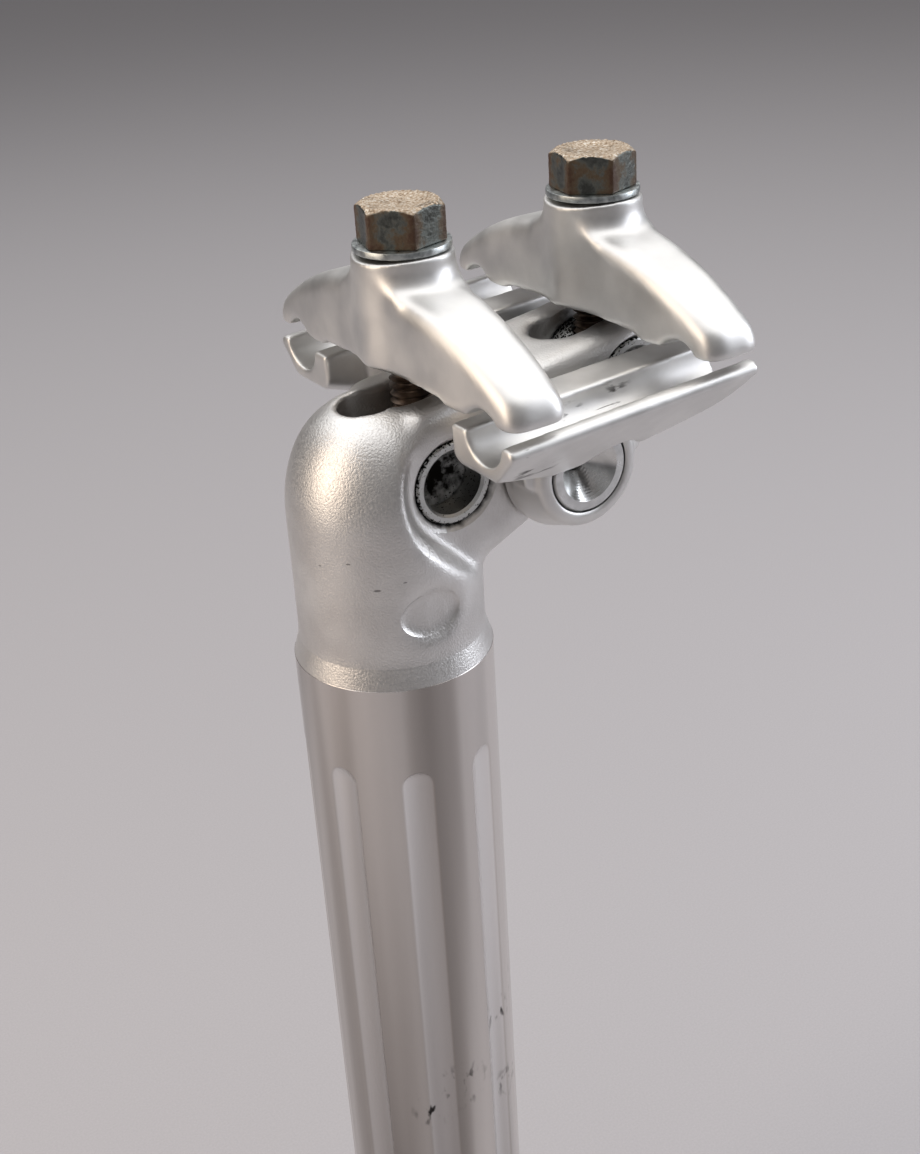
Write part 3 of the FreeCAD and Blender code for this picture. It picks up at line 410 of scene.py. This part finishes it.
def speckedSteelWithPaintedShade():
    # barrel nuts: turned steel rings, with painted shade in the hollow and specks of dust
    material, tree = newMaterial("speckedSteelWithPaintedShade")
    coords = addNode(tree, "ShaderNodeTexCoord").outputs["Object"]
    front = axisDistance(tree, coords, frontNutPlace, acrossY)
    rear = axisDistance(tree, coords, rearNutPlace, acrossY)
    reach = addNode(tree, "ShaderNodeMath", {"operation": "MINIMUM"}, s0=front, s1=rear).outputs["Value"]
    # painted shade darkens the upper front of each hollow, and its edge wavers by 0.5 mm
    mottle = addNode(tree, "ShaderNodeTexNoise", Vector=coords, Scale=900.0, Detail=4.0).outputs["Fac"]
    atFront = addNode(tree, "ShaderNodeMath", {"operation": "LESS_THAN"}, s0=front, s1=rear).outputs["Value"]
    centre = addNode(tree, "ShaderNodeMix", {"data_type": "VECTOR"}, Factor=atFront, s4=tuple(rearNutPlace),
                     s5=tuple(frontNutPlace)).outputs[1]
    away = addNode(tree, "ShaderNodeVectorMath", {"operation": "SUBTRACT"}, s0=coords,
                   s1=centre).outputs["Vector"]
    side = addNode(tree, "ShaderNodeVectorMath", {"operation": "DOT_PRODUCT"}, s0=away,
                   s1=(-0.8, 0, 0.6)).outputs["Value"]
    wavy = addNode(tree, "ShaderNodeMath", {"operation": "MULTIPLY_ADD"}, s0=mottle, s1=1.5 * mm,
                   s2=side).outputs["Value"]
    shadow = addNode(tree, "ShaderNodeMapRange", Value=wavy, From_Min=0.8 * mm,
                     From_Max=4.2 * mm).outputs["Result"]
    inside = addNode(tree, "ShaderNodeMapRange", Value=reach, From_Min=4.28 * mm, From_Max=4.4 * mm,
                     To_Min=1.0, To_Max=0.0).outputs["Result"]
    # and painted shade fills the hollow from 4 mm down
    flank = addNode(tree, "ShaderNodeMath", {"operation": "ABSOLUTE"}, s0=addNode(
        tree, "ShaderNodeSeparateXYZ", Vector=coords).outputs["Y"]).outputs["Value"]
    ragged = addNode(tree, "ShaderNodeMath", {"operation": "MULTIPLY_ADD"}, s0=mottle, s1=-2.0 * mm,
                     s2=flank).outputs["Value"]
    deep = addNode(tree, "ShaderNodeMapRange", Value=ragged, From_Min=3.0 * mm, From_Max=4.0 * mm,
                   To_Min=1.0, To_Max=0.0).outputs["Result"]
    sideAndDepthShade = addNode(tree, "ShaderNodeMath", {"operation": "MAXIMUM"}, s0=shadow, s1=deep).outputs["Value"]
    hollowShade = addNode(tree, "ShaderNodeMath", {"operation": "MULTIPLY"}, s0=sideAndDepthShade, s1=inside).outputs["Value"]
    # specks of 0.3 mm all over, thicker near the outer edge
    speck = addNode(tree, "ShaderNodeTexNoise", Vector=coords, Scale=3200.0, Detail=3.0).outputs["Fac"]
    limit = addNode(tree, "ShaderNodeMapRange", Value=reach, From_Min=5.1 * mm, From_Max=5.7 * mm,
                    To_Min=0.64, To_Max=0.46).outputs["Result"]
    dots = addNode(tree, "ShaderNodeMath", {"operation": "GREATER_THAN"}, s0=speck, s1=limit).outputs["Value"]
    # the dark colour is painted shade in the hollow, together with the real dust specks
    hollowShadeAndSpecks = addNode(tree, "ShaderNodeMath", {"operation": "MAXIMUM"}, s0=hollowShade, s1=dots).outputs["Value"]
    tint = addNode(tree, "ShaderNodeMix", {"data_type": "RGBA"}, Factor=hollowShadeAndSpecks, s6=colour("C2C3C1"),
                   s7=colour("141210")).outputs[2]
    rough = addNode(tree, "ShaderNodeMapRange", Value=mottle, From_Min=0.3, From_Max=0.7,
                    To_Min=0.28, To_Max=0.44).outputs["Result"]
    bump = addNode(tree, "ShaderNodeBump", Height=mottle, Strength=0.4, Distance=0.05 * mm)
    giveShader(tree, Base_Color=tint, Metallic=1.0, Roughness=rough, Normal=bump.outputs["Normal"])
    return material


def zincPlate():
    # washers: dull pale zinc, a little mottled
    material, tree = newMaterial("zincPlate")
    coords = addNode(tree, "ShaderNodeTexCoord").outputs["Object"]
    # zinc bloom in 0.8 mm spots
    bloom = addNode(tree, "ShaderNodeTexNoise", Vector=coords, Scale=1250.0, Detail=4.0).outputs["Fac"]
    tint = addNode(tree, "ShaderNodeValToRGB", {"stops": [(0.35, "A5ABAB"), (0.65, "CBD0CF")]},
                   Fac=bloom).outputs["Color"]
    rough = addNode(tree, "ShaderNodeMapRange", Value=bloom, From_Min=0.3, From_Max=0.7,
                    To_Min=0.26, To_Max=0.42).outputs["Result"]
    giveShader(tree, Base_Color=tint, Metallic=1.0, Roughness=rough)
    return material


def rustySteel():
    # old plated steel: grey flats with brown rust at the corners, a tan crust in the dished top
    material, tree = newMaterial("rustySteel")
    coords = addNode(tree, "ShaderNodeTexCoord")
    spot = coords.outputs["Object"]
    # rust stains of 3 mm, pits of 0.3 mm
    stain = addNode(tree, "ShaderNodeTexNoise", Vector=spot, Scale=330.0, Detail=6.0,
                    Roughness=0.7).outputs["Fac"]
    pit = addNode(tree, "ShaderNodeTexNoise", Vector=spot, Scale=3000.0, Detail=3.0).outputs["Fac"]
    # rust starts at the worn corners, past 5.1 mm from the bolt's axis
    reach = None
    for place in (frontNutPlace, rearNutPlace):
        out = axisDistance(tree, spot, place, acrossZ)
        reach = out if reach is None else addNode(
            tree, "ShaderNodeMath", {"operation": "MINIMUM"}, s0=reach, s1=out).outputs["Value"]
    corner = addNode(tree, "ShaderNodeMapRange", Value=reach, From_Min=5.1 * mm, From_Max=5.6 * mm,
                     To_Max=0.22).outputs["Result"]
    rust = addNode(tree, "ShaderNodeMath", {"operation": "ADD"}, s0=stain, s1=corner).outputs["Value"]
    side = addNode(tree, "ShaderNodeValToRGB", {"stops": [
        (0.38, "4A4B48"), (0.52, "666965"), (0.62, "5C4E3D"), (0.74, "47301F")]}, Fac=rust).outputs["Color"]
    crust = addNode(tree, "ShaderNodeValToRGB", {"stops": [
        (0.34, "7A634A"), (0.46, "A8937A"), (0.58, "BDAF9C"), (0.7, "D8D2C8")]}, Fac=pit).outputs["Color"]
    up = addNode(tree, "ShaderNodeSeparateXYZ", Vector=coords.outputs["Normal"]).outputs["Z"]
    onTop = addNode(tree, "ShaderNodeMapRange", Value=up, From_Min=0.55, From_Max=0.85).outputs["Result"]
    tint = addNode(tree, "ShaderNodeMix", {"data_type": "RGBA"}, Factor=onTop, s6=side, s7=crust).outputs[2]
    # crust and rust are dull, the bare flats are metal
    dull = addNode(tree, "ShaderNodeMath", {"operation": "MULTIPLY_ADD"}, s0=onTop, s1=0.2,
                   s2=rust).outputs["Value"]
    metal = addNode(tree, "ShaderNodeMapRange", Value=dull, From_Min=0.5, From_Max=0.68,
                    To_Min=0.9, To_Max=0.15).outputs["Result"]
    rough = addNode(tree, "ShaderNodeMapRange", Value=stain, From_Min=0.4, From_Max=0.65,
                    To_Min=0.32, To_Max=0.62).outputs["Result"]
    bump = addNode(tree, "ShaderNodeBump", Height=pit, Strength=0.6, Distance=0.06 * mm)
    giveShader(tree, Base_Color=tint, Metallic=metal, Roughness=rough, Normal=bump.outputs["Normal"])
    return material


def oiledThread():
    # the bolts' threads: dark steel, wet with old oil
    material, tree = newMaterial("oiledThread")
    coords = addNode(tree, "ShaderNodeTexCoord").outputs["Object"]
    # oil film drifts over 2 mm
    film = addNode(tree, "ShaderNodeTexNoise", Vector=coords, Scale=500.0, Detail=4.0).outputs["Fac"]
    tint = addNode(tree, "ShaderNodeValToRGB", {"stops": [(0.35, "2E2621"), (0.65, "75665A")]},
                   Fac=film).outputs["Color"]
    giveShader(tree, Base_Color=tint, Metallic=0.9, Roughness=0.35)
    return material


def palePaper():
    # seamless studio paper, matt and plain
    material, tree = newMaterial("palePaper")
    coords = addNode(tree, "ShaderNodeTexCoord").outputs["Object"]
    # paper fibre of 0.5 mm
    fibre = addNode(tree, "ShaderNodeTexNoise", Vector=coords, Scale=2000.0, Detail=2.0).outputs["Fac"]
    tint = addNode(tree, "ShaderNodeValToRGB", {"stops": [(0.3, "A8A5A7"), (0.7, "AEABAD")]},
                   Fac=fibre).outputs["Color"]
    giveShader(tree, Base_Color=tint, Roughness=0.9)
    return material


blasted = blastedAluminium()
polished = polishedAluminium()
tumbled = tumbledAluminium()
turned = turnedSteel()
nutSteel = speckedSteelWithPaintedShade()
zinc = zincPlate()
rusty = rustySteel()
oiled = oiledThread()
print("materials made")


# Shaft: one turned shape up to the neck, with ball-ended flutes cut in

shaftFacts = {"radius": 13.6, "boreRadius": 11.3, "boreTop": 171.0, "ring": 180.0, "neckRadius": 12.7,
              "bandTop": 182.9, "lineHeight": 72.0, "lineHalf": 0.5, "lineDepth": 0.2, "endChamfer": 0.6,
              "ringEase": 0.05, "fluteCount": 8, "fluteTurn": 22.5, "fluteTop": 169.0, "fluteBottom": 77.0,
              "cutterRadius": 4.4, "fluteDepth": 0.8, "plugEase": 2, "facets": 288, "cutterFacets": 96,
              "shade": 12}


def makeShaft():
    s = shaftFacts
    radius, line = s["radius"], s["lineHeight"]
    profile = [
        (s["boreRadius"], 0), (radius - s["endChamfer"], 0), (radius, s["endChamfer"]),
        (radius, line - s["lineHalf"]), (radius - s["lineDepth"], line), (radius, line + s["lineHalf"]),
        (radius, s["ring"] - s["ringEase"]), (radius - s["ringEase"], s["ring"]), (0, s["ring"]),
        (0, s["boreTop"]),
        (s["boreRadius"] - s["plugEase"], s["boreTop"]), (s["boreRadius"], s["boreTop"] - s["plugEase"]),
        (s["boreRadius"], 0)]
    shaft = turnedShape(profile, s["facets"])
    cutter = s["cutterRadius"]
    run = s["fluteTop"] - s["fluteBottom"] - 2 * cutter
    arc = [(cutter * math.sin(math.radians(t)), -cutter * math.cos(math.radians(t))) for t in range(0, 91, 5)]
    capsule = [(r, h) for r, h in arc] + [(r, run - h) for r, h in reversed(arc)]
    reach = radius + cutter - s["fluteDepth"]
    for index in range(s["fluteCount"]):
        angle = math.radians(s["fluteTurn"] + 360 / s["fluteCount"] * index)
        tool = putPiece(turnedShape(capsule, s["cutterFacets"]), Vector((
            reach * math.cos(angle), reach * math.sin(angle), s["fluteBottom"] + cutter)) * mm)
        carve(shaft, tool)
    smoothShade(shaft, s["shade"])
    finishPiece(shaft, "flutedShaft", "post", polished, "post")
    # the cone above the ring is blasted with the head
    band = turnedShape([(0, s["ring"]), (radius - s["ringEase"], s["ring"]), (s["neckRadius"], s["bandTop"]),
                        (0, s["bandTop"])], s["facets"])
    smoothShade(band, s["shade"])
    finishPiece(band, "neckBand", "post", blasted, "post")


makeShaft()


# Head: the forged part above the ring. Its bores are plugged before the softening and cut again after it.

headFacts = {"cut": 182.9, "spare": 4, "cheek": 9.1, "nutBore": 5.67, "leadIn": 0.75, "pivotBore": 5.87,
             "pivotLeadIn": 0.3, "plugMargin": 1.6, "plugFacets": 128, "crossFacets": 160, "voxel": 0.34,
             "passes": 90, "slotWidth": 7.56, "slotDepth": 50, "slotFacets": 96,
             "frontSlot": (4.2, 18.16, 191.9), "rearSlot": (33.0, 15.56, 190.0), "stampAcross": 4.75,
             "stampUp": 3.5, "stampDepth": 1.0, "stampTurn": -3.6, "stampHeight": 189.6, "stampFacets": 96,
             "neckRadius": 12.7, "shade": 40}


def crossCutter(centre, radius, cheek, leadIn):
    # the lead-in's cone goes on past the cheek
    past = headFacts["spare"]
    flare = radius + leadIn + past
    profile = [(0, -cheek - past), (flare, -cheek - past), (radius, leadIn - cheek), (radius, cheek - leadIn),
               (flare, cheek + past), (0, cheek + past)]
    return putPiece(turnedShape(profile, headFacts["crossFacets"]), centre, (90, 0, 0))


def slotCutter(middle, length, foot):
    # a cylinder whose two halves are drawn apart
    half, depth = headFacts["slotWidth"] / 2, headFacts["slotDepth"]
    bpy.ops.object.select_all(action="DESELECT")
    bpy.ops.mesh.primitive_cylinder_add(vertices=headFacts["slotFacets"], radius=half * mm, depth=depth * mm,
                                        location=(middle * mm, 0, (foot + depth / 2) * mm))
    cutter = bpy.context.object
    bpy.ops.object.transform_apply(location=True)
    for sign in (-1, 1):
        pickVertices(cutter, lambda co: sign * (co.x - middle * mm) > 0.05 * mm)
        bpy.ops.transform.translate(value=(sign * (length / 2 - half) * mm, 0, 0))
    bpy.ops.object.mode_set(mode="OBJECT")
    return cutter


def stampCutter():  # a shallow oval dish, bent round the neck
    # its radius is drawn as a share of the oval's
    h = headFacts
    deep = h["stampDepth"]
    dish = turnedShape([(0, -deep), (0.55, -deep * 0.97), (0.8, -deep * 0.84), (0.92, -deep * 0.5), (1, 0),
                        (1.04, 0.3), (1.2, 2), (0, 2)], h["stampFacets"])
    for vertex in dish.data.vertices:
        across, up, out = (c / mm for c in vertex.co)
        angle = math.radians(h["stampTurn"]) + across * h["stampAcross"] / h["neckRadius"]
        reach = h["neckRadius"] + out
        vertex.co = Vector((reach * math.sin(angle), -reach * math.cos(angle),
                            up * h["stampUp"] + h["stampHeight"])) * mm
    editAll(dish)
    bpy.ops.mesh.normals_make_consistent(inside=False)
    bpy.ops.object.mode_set(mode="OBJECT")
    return dish


def cutBelow(piece, height):
    editAll(piece)
    bpy.ops.mesh.bisect(plane_co=(0, 0, height * mm), plane_no=(0, 0, 1), clear_inner=True, use_fill=True)
    bpy.ops.object.mode_set(mode="OBJECT")


def makeHead():
    h = headFacts
    head = mergedCopy("post")
    cutBelow(head, h["cut"] - h["spare"])
    plugs = []
    for centre, radius in ((frontNutPlace, h["nutBore"]), (rearNutPlace, h["nutBore"]),
                           (pivotPlace, h["pivotBore"])):
        bpy.ops.mesh.primitive_cylinder_add(vertices=h["plugFacets"], radius=(radius + h["plugMargin"]) * mm,
                                            depth=2 * h["cheek"] * mm, location=centre,
                                            rotation=(math.pi / 2, 0, 0))
        plugs.append(bpy.context.object)
    pickOnly(head)
    for plug in plugs:
        plug.select_set(True)
    bpy.ops.object.join()
    soften(head, h["voxel"], h["passes"])
    cutBelow(head, h["cut"])
    for middle, length, foot in (h["frontSlot"], h["rearSlot"]):
        carve(head, slotCutter(middle, length, foot))
    for centre in (frontNutPlace, rearNutPlace):
        carve(head, crossCutter(centre, h["nutBore"], h["cheek"], h["leadIn"]))
    carve(head, crossCutter(pivotPlace, h["pivotBore"], h["cheek"], h["pivotLeadIn"]))
    carve(head, stampCutter())
    smoothShade(head, h["shade"])
    finishPiece(head, "forgedHead", "post", blasted, "post")


makeHead()


# Cradles and clamps: tumbled forgings, so the CAD shapes with their edges worn round

cradleFacts = {"voxel": 0.22, "passes": 22, "boreRadius": 5.95, "earReach": 15.8, "leadIn": 0.25, "shade": 40}


def makeCradles():
    c = cradleFacts
    for nodeName, name in (("left_cradle", "leftCradle"), ("right_cradle", "rightCradle")):
        cradle = mergedCopy(nodeName)
        soften(cradle, c["voxel"], c["passes"])
        carve(cradle, crossCutter(pivotPlace, c["boreRadius"], c["earReach"], c["leadIn"]))
        smoothShade(cradle, c["shade"])
        finishPiece(cradle, name, "cradle", tumbled, nodeName)


clampFacts = {"voxel": 0.21, "passes": 100, "seatKeep": 0.1, "keepDrop": 0.8, "keepFade": 1.8}


def makeClamps():
    c = clampFacts
    for nodeName, name in (("front_clamp", "frontClamp"), ("rear_clamp", "rearClamp")):
        clamp = mergedCopy(nodeName)
        toVoxels(clamp, c["voxel"])
        # the machined seat under the washer stays crisp
        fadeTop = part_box(nodeName)[1].z / mm - c["keepDrop"]
        arms = clamp.vertex_groups.new(name="arms")
        for vertex in clamp.data.vertices:
            worn = (fadeTop - vertex.co.z / mm) / c["keepFade"]
            arms.add([vertex.index], min(1.0, max(c["seatKeep"], worn)), "REPLACE")
        useModifier(clamp, "SMOOTH", factor=0.5, iterations=c["passes"], vertex_group="arms")
        finishPiece(clamp, name, "cradle", tumbled, nodeName)


makeCradles()
makeClamps()


# Barrel nuts, pivot pin and washers: turned shapes

nutFacts = {"radius": 5.6, "half": 8.75, "hollow": 4.3, "hollowDepth": 4.2, "floorRise": 0.9, "edge": 0.25,
            "lip": 0.35, "threadBore": 3.175, "boreLength": 20, "boreFacets": 96, "shade": 25}


def makeNuts():
    n = nutFacts
    half, floor = n["half"], n["half"] - n["hollowDepth"]
    end = [(0, floor - n["floorRise"]), (n["hollow"], floor), (n["hollow"], half - n["lip"]),
           (n["hollow"] + n["lip"], half), (n["radius"] - n["edge"], half), (n["radius"], half - n["edge"])]
    profile = [(r, -a) for r, a in end] + [(r, a) for r, a in reversed(end)]
    for nodeName, name, place, body in (
            ("front_barrel_nut", "frontBarrelNut", frontNutPlace, "front_nut"),
            ("rear_barrel_nut", "rearBarrelNut", rearNutPlace, "rear_nut")):
        nut = putPiece(turnedShape(profile), place, (90, 0, 0))
        bpy.ops.object.select_all(action="DESELECT")
        bpy.ops.mesh.primitive_cylinder_add(vertices=n["boreFacets"], radius=n["threadBore"] * mm,
                                            depth=n["boreLength"] * mm, location=place)
        carve(nut, bpy.context.object)
        smoothShade(nut, n["shade"])
        finishPiece(nut, name, body, nutSteel, nodeName)


pinFacts = {"radius": 5.8, "half": 15.8, "cone": 4.2, "coneDepth": 3.2, "drill": 1.1, "drillDepth": 2.0,
            "drillTip": 0.6, "edge": 0.3, "lip": 0.15, "shade": 25}


def makePin():
    p = pinFacts
    half, bottom = p["half"], p["half"] - p["coneDepth"] - p["drillDepth"]
    end = [(0, bottom - p["drillTip"]), (p["drill"], bottom), (p["drill"], half - p["coneDepth"]),
           (p["cone"], half - p["lip"]), (p["cone"] + p["lip"], half), (p["radius"] - p["edge"], half),
           (p["radius"], half - p["edge"])]
    profile = [(r, -a) for r, a in end] + [(r, a) for r, a in reversed(end)]
    pin = putPiece(turnedShape(profile), pivotPlace, (90, 0, 0))
    smoothShade(pin, p["shade"])
    finishPiece(pin, "pivotPin", "cradle", turned, "pivot_pin")


washerFacts = {"radius": 6.2, "bore": 3.2, "thickness": 0.85, "edge": 0.13, "corner": 0.3, "shade": 30}


def makeWashers():
    w = washerFacts
    radius, bore, top, edge = w["radius"], w["bore"], w["thickness"], w["edge"]
    corner = edge * w["corner"]
    profile = [(bore, edge), (bore + edge, 0), (radius - edge, 0), (radius, edge), (radius, top - edge),
               (radius - corner, top - corner), (radius - edge, top), (bore + edge, top), (bore, top - edge),
               (bore, edge)]
    for nodeName, name, body in (("front_washer", "frontWasher", "cradle"),
                                 ("rear_washer", "rearWasher", "rear_washer")):
        low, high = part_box(nodeName)
        washer = putPiece(turnedShape(profile), ((low.x + high.x) / 2, 0, low.z))
        smoothShade(washer, w["shade"])
        finishPiece(washer, name, body, zinc, nodeName)


makeNuts()
makePin()
makeWashers()


# Bolts: a worn hex head with a dished top, and a rolled thread

hexFacts = {"acrossFlats": 10.0, "height": 4.9, "cornerEase": 0.2, "coneRadius": 4.85, "coneDrop": 0.75,
            "coneSlope": 1.9, "coneLand": 0.02, "dishRadius": 4.0, "dishDepth": 0.62, "voxel": 0.11,
            "passes": 3, "crustGrain": 0.5, "pitting": 0.07, "burr": 0.32, "rimRadius": 4.6,
            "rimWidth": 0.7, "rimHeight": 0.9, "cleanFoot": 0.3, "frontTurn": 15, "rearTurn": 19}


def makeHex(turn):
    b = hexFacts
    height = b["height"]
    corner = b["acrossFlats"] / 2 / math.cos(math.radians(30))
    bpy.ops.object.select_all(action="DESELECT")
    bpy.ops.mesh.primitive_cylinder_add(vertices=6, radius=corner * mm, depth=height * mm,
                                        location=(0, 0, height / 2 * mm),
                                        rotation=(0, 0, math.radians(turn - 30)))
    head = bpy.context.object
    bpy.ops.object.transform_apply(location=True, rotation=True)
    editAll(head)
    bpy.ops.mesh.bevel(offset=b["cornerEase"] * mm, segments=2)
    bpy.ops.object.mode_set(mode="OBJECT")
    # the chamfer's cone, which is 1 mm larger than the head elsewhere
    cone = turnedShape([(0, -1), (corner + 1, -1), (corner + 1, height - b["coneDrop"] * b["coneSlope"]),
                        (b["coneRadius"], height - b["coneLand"]), (b["coneRadius"] - 1, height + 1),
                        (0, height + 1)])
    carve(head, cone, "INTERSECT")
    bow = (b["dishRadius"] ** 2 + b["dishDepth"] ** 2) / (2 * b["dishDepth"])
    bpy.ops.object.select_all(action="DESELECT")
    bpy.ops.mesh.primitive_uv_sphere_add(segments=128, ring_count=96, radius=bow * mm,
                                         location=(0, 0, (height - b["dishDepth"] + bow) * mm))
    carve(head, bpy.context.object)
    soften(head, b["voxel"], b["passes"])
    # rust pits all over, and a hammered burr round the rim
    crust = bpy.data.textures.new("rustCrust", "CLOUDS")
    crust.noise_scale = b["crustGrain"] * mm
    crust.noise_depth = 3
    rim = head.vertex_groups.new(name="rim")
    worn = head.vertex_groups.new(name="worn")
    for vertex in head.data.vertices:
        out = math.hypot(vertex.co.x, vertex.co.y) / mm
        up = vertex.co.z / mm
        sideways = max(0.0, 1 - abs(out - b["rimRadius"]) / b["rimWidth"])
        upright = max(0.0, 1 - abs(up - height) / b["rimHeight"])
        rim.add([vertex.index], sideways * upright, "REPLACE")
        worn.add([vertex.index], 1.0 if up > b["cleanFoot"] else 0.0, "REPLACE")
    useModifier(head, "DISPLACE", texture=crust, texture_coords="LOCAL", mid_level=0.5,
                strength=b["pitting"] * mm, vertex_group="worn")
    useModifier(head, "DISPLACE", texture=crust, texture_coords="LOCAL", direction="Z", mid_level=0.55,
                strength=b["burr"] * mm, vertex_group="rim")
    return head


threadFacts = {"pitch": 1.0, "coreRadius": 2.42, "crestRadius": 2.925, "ridgeSink": 0.06, "ridgeHalf": 0.44,
               "firstRidge": 0.9, "plainEnd": 2, "pointEase": 0.5, "overlap": 0.4, "steps": 40, "facets": 64,
               "shade": 30}


def makeThread(length):
    t = threadFacts
    pitch, core, ease, root = t["pitch"], t["coreRadius"], t["pointEase"], t["coreRadius"] - t["ridgeSink"]
    shank = turnedShape([(0, -length), (core - ease, -length), (core, ease - length), (core, t["overlap"]),
                         (0, t["overlap"])], t["facets"])
    # one ridge as a triangle, screwed up the core
    bpy.ops.object.select_all(action="DESELECT")
    bpy.ops.mesh.primitive_circle_add(vertices=3, radius=mm)
    ridge = bpy.context.object
    corners = [(root, -t["ridgeHalf"]), (t["crestRadius"], 0.0), (root, t["ridgeHalf"])]
    for vertex, (r, h) in zip(ridge.data.vertices, corners):
        vertex.co = Vector((r * mm, 0, (h * pitch + t["firstRidge"] - length) * mm))
    useModifier(ridge, "SCREW", axis="Z", angle=2 * math.pi, screw_offset=pitch * mm,
                iterations=int(length - t["plainEnd"]), steps=t["steps"], render_steps=t["steps"],
                use_smooth_shade=True)
    bpy.ops.object.mode_set(mode="EDIT")
    bpy.ops.mesh.select_mode(type="EDGE")
    bpy.ops.mesh.select_all(action="DESELECT")
    bpy.ops.mesh.select_non_manifold()
    bpy.ops.mesh.fill()
    bpy.ops.mesh.select_mode(type="VERT")
    bpy.ops.mesh.select_all(action="SELECT")
    bpy.ops.mesh.normals_make_consistent(inside=False)
    bpy.ops.object.mode_set(mode="OBJECT")
    pickOnly(shank)
    ridge.select_set(True)
    bpy.ops.object.join()
    smoothShade(shank, t["shade"])
    return shank


def makeBolts():
    for nodeName, name, turn, body in (("front_bolt", "front", hexFacts["frontTurn"], "front_bolt"),
                                       ("rear_bolt", "rear", hexFacts["rearTurn"], "rear_bolt")):
        low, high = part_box(nodeName)
        seat = high.z - hexFacts["height"] * mm
        place = ((low.x + high.x) / 2, 0, seat)
        head = putPiece(makeHex(turn), place)
        finishPiece(head, name + "BoltHead", body, rusty, nodeName)
        thread = putPiece(makeThread((seat - low.z) / mm), place)
        finishPiece(thread, name + "BoltThread", body, oiled, nodeName)


makeBolts()


# Floor and studio light

floorFacts = {"size": 6.0}
lightFacts = {
    "topSoftbox": {"place": (0.12, 0.2, 1.1), "aim": (0.01, 0, 0.2), "size": (1.9, 1.5), "power": 13.5,
                   "tint": "FFFFFF"},
    "leftWindow": {"place": (-0.6, 0.1, 0.42), "aim": (0.01, 0, 0.16), "size": (0.4, 0.6), "power": 2.2,
                   "tint": "FFEBD6"},
    "rightWindow": {"place": (0.62, -0.3, 0.42), "aim": (0.01, 0, 0.16), "size": (0.3, 0.6), "power": 2.6,
                    "tint": "F2F6FF"},
}
airFacts = {"stops": [(0.0, "989697"), (0.3, "B0AEAF"), (0.85, "CBC9CA")], "strength": 0.55}


def makeFloor():
    bpy.ops.mesh.primitive_plane_add(size=floorFacts["size"], location=(0, 0, cadLow.z))
    floor = bpy.context.object
    floor.name = "studioFloor"
    dress(floor, palePaper())


def makeLights():
    for name, facts in lightFacts.items():
        bpy.ops.object.light_add(type="AREA", location=facts["place"])
        light = bpy.context.object
        light.name = name
        light.data.shape = "RECTANGLE"
        light.data.size, light.data.size_y = facts["size"]
        light.data.energy = facts["power"]
        light.data.color = colour(facts["tint"])[:3]
        away = Vector(facts["aim"]) - Vector(facts["place"])
        light.rotation_euler = away.to_track_quat("-Z", "Y").to_euler()


def makeAir():
    world = bpy.data.worlds.new("studioAir")
    bpy.context.scene.world = world
    world.use_nodes = True
    # a dim room that grows lighter overhead, so that upright metal stays darker than the tops
    tree = world.node_tree
    coords = addNode(tree, "ShaderNodeTexCoord").outputs["Generated"]
    up = addNode(tree, "ShaderNodeSeparateXYZ", Vector=coords).outputs["Z"]
    air = addNode(tree, "ShaderNodeValToRGB", {"stops": airFacts["stops"]}, Fac=up)
    background = tree.nodes["Background"]
    background.inputs["Strength"].default_value = airFacts["strength"]
    tree.links.new(air.outputs["Color"], background.inputs["Color"])


makeFloor()
makeLights()
makeAir()
bpy.context.scene.view_settings.view_transform = "Standard"
print("floor and light set")
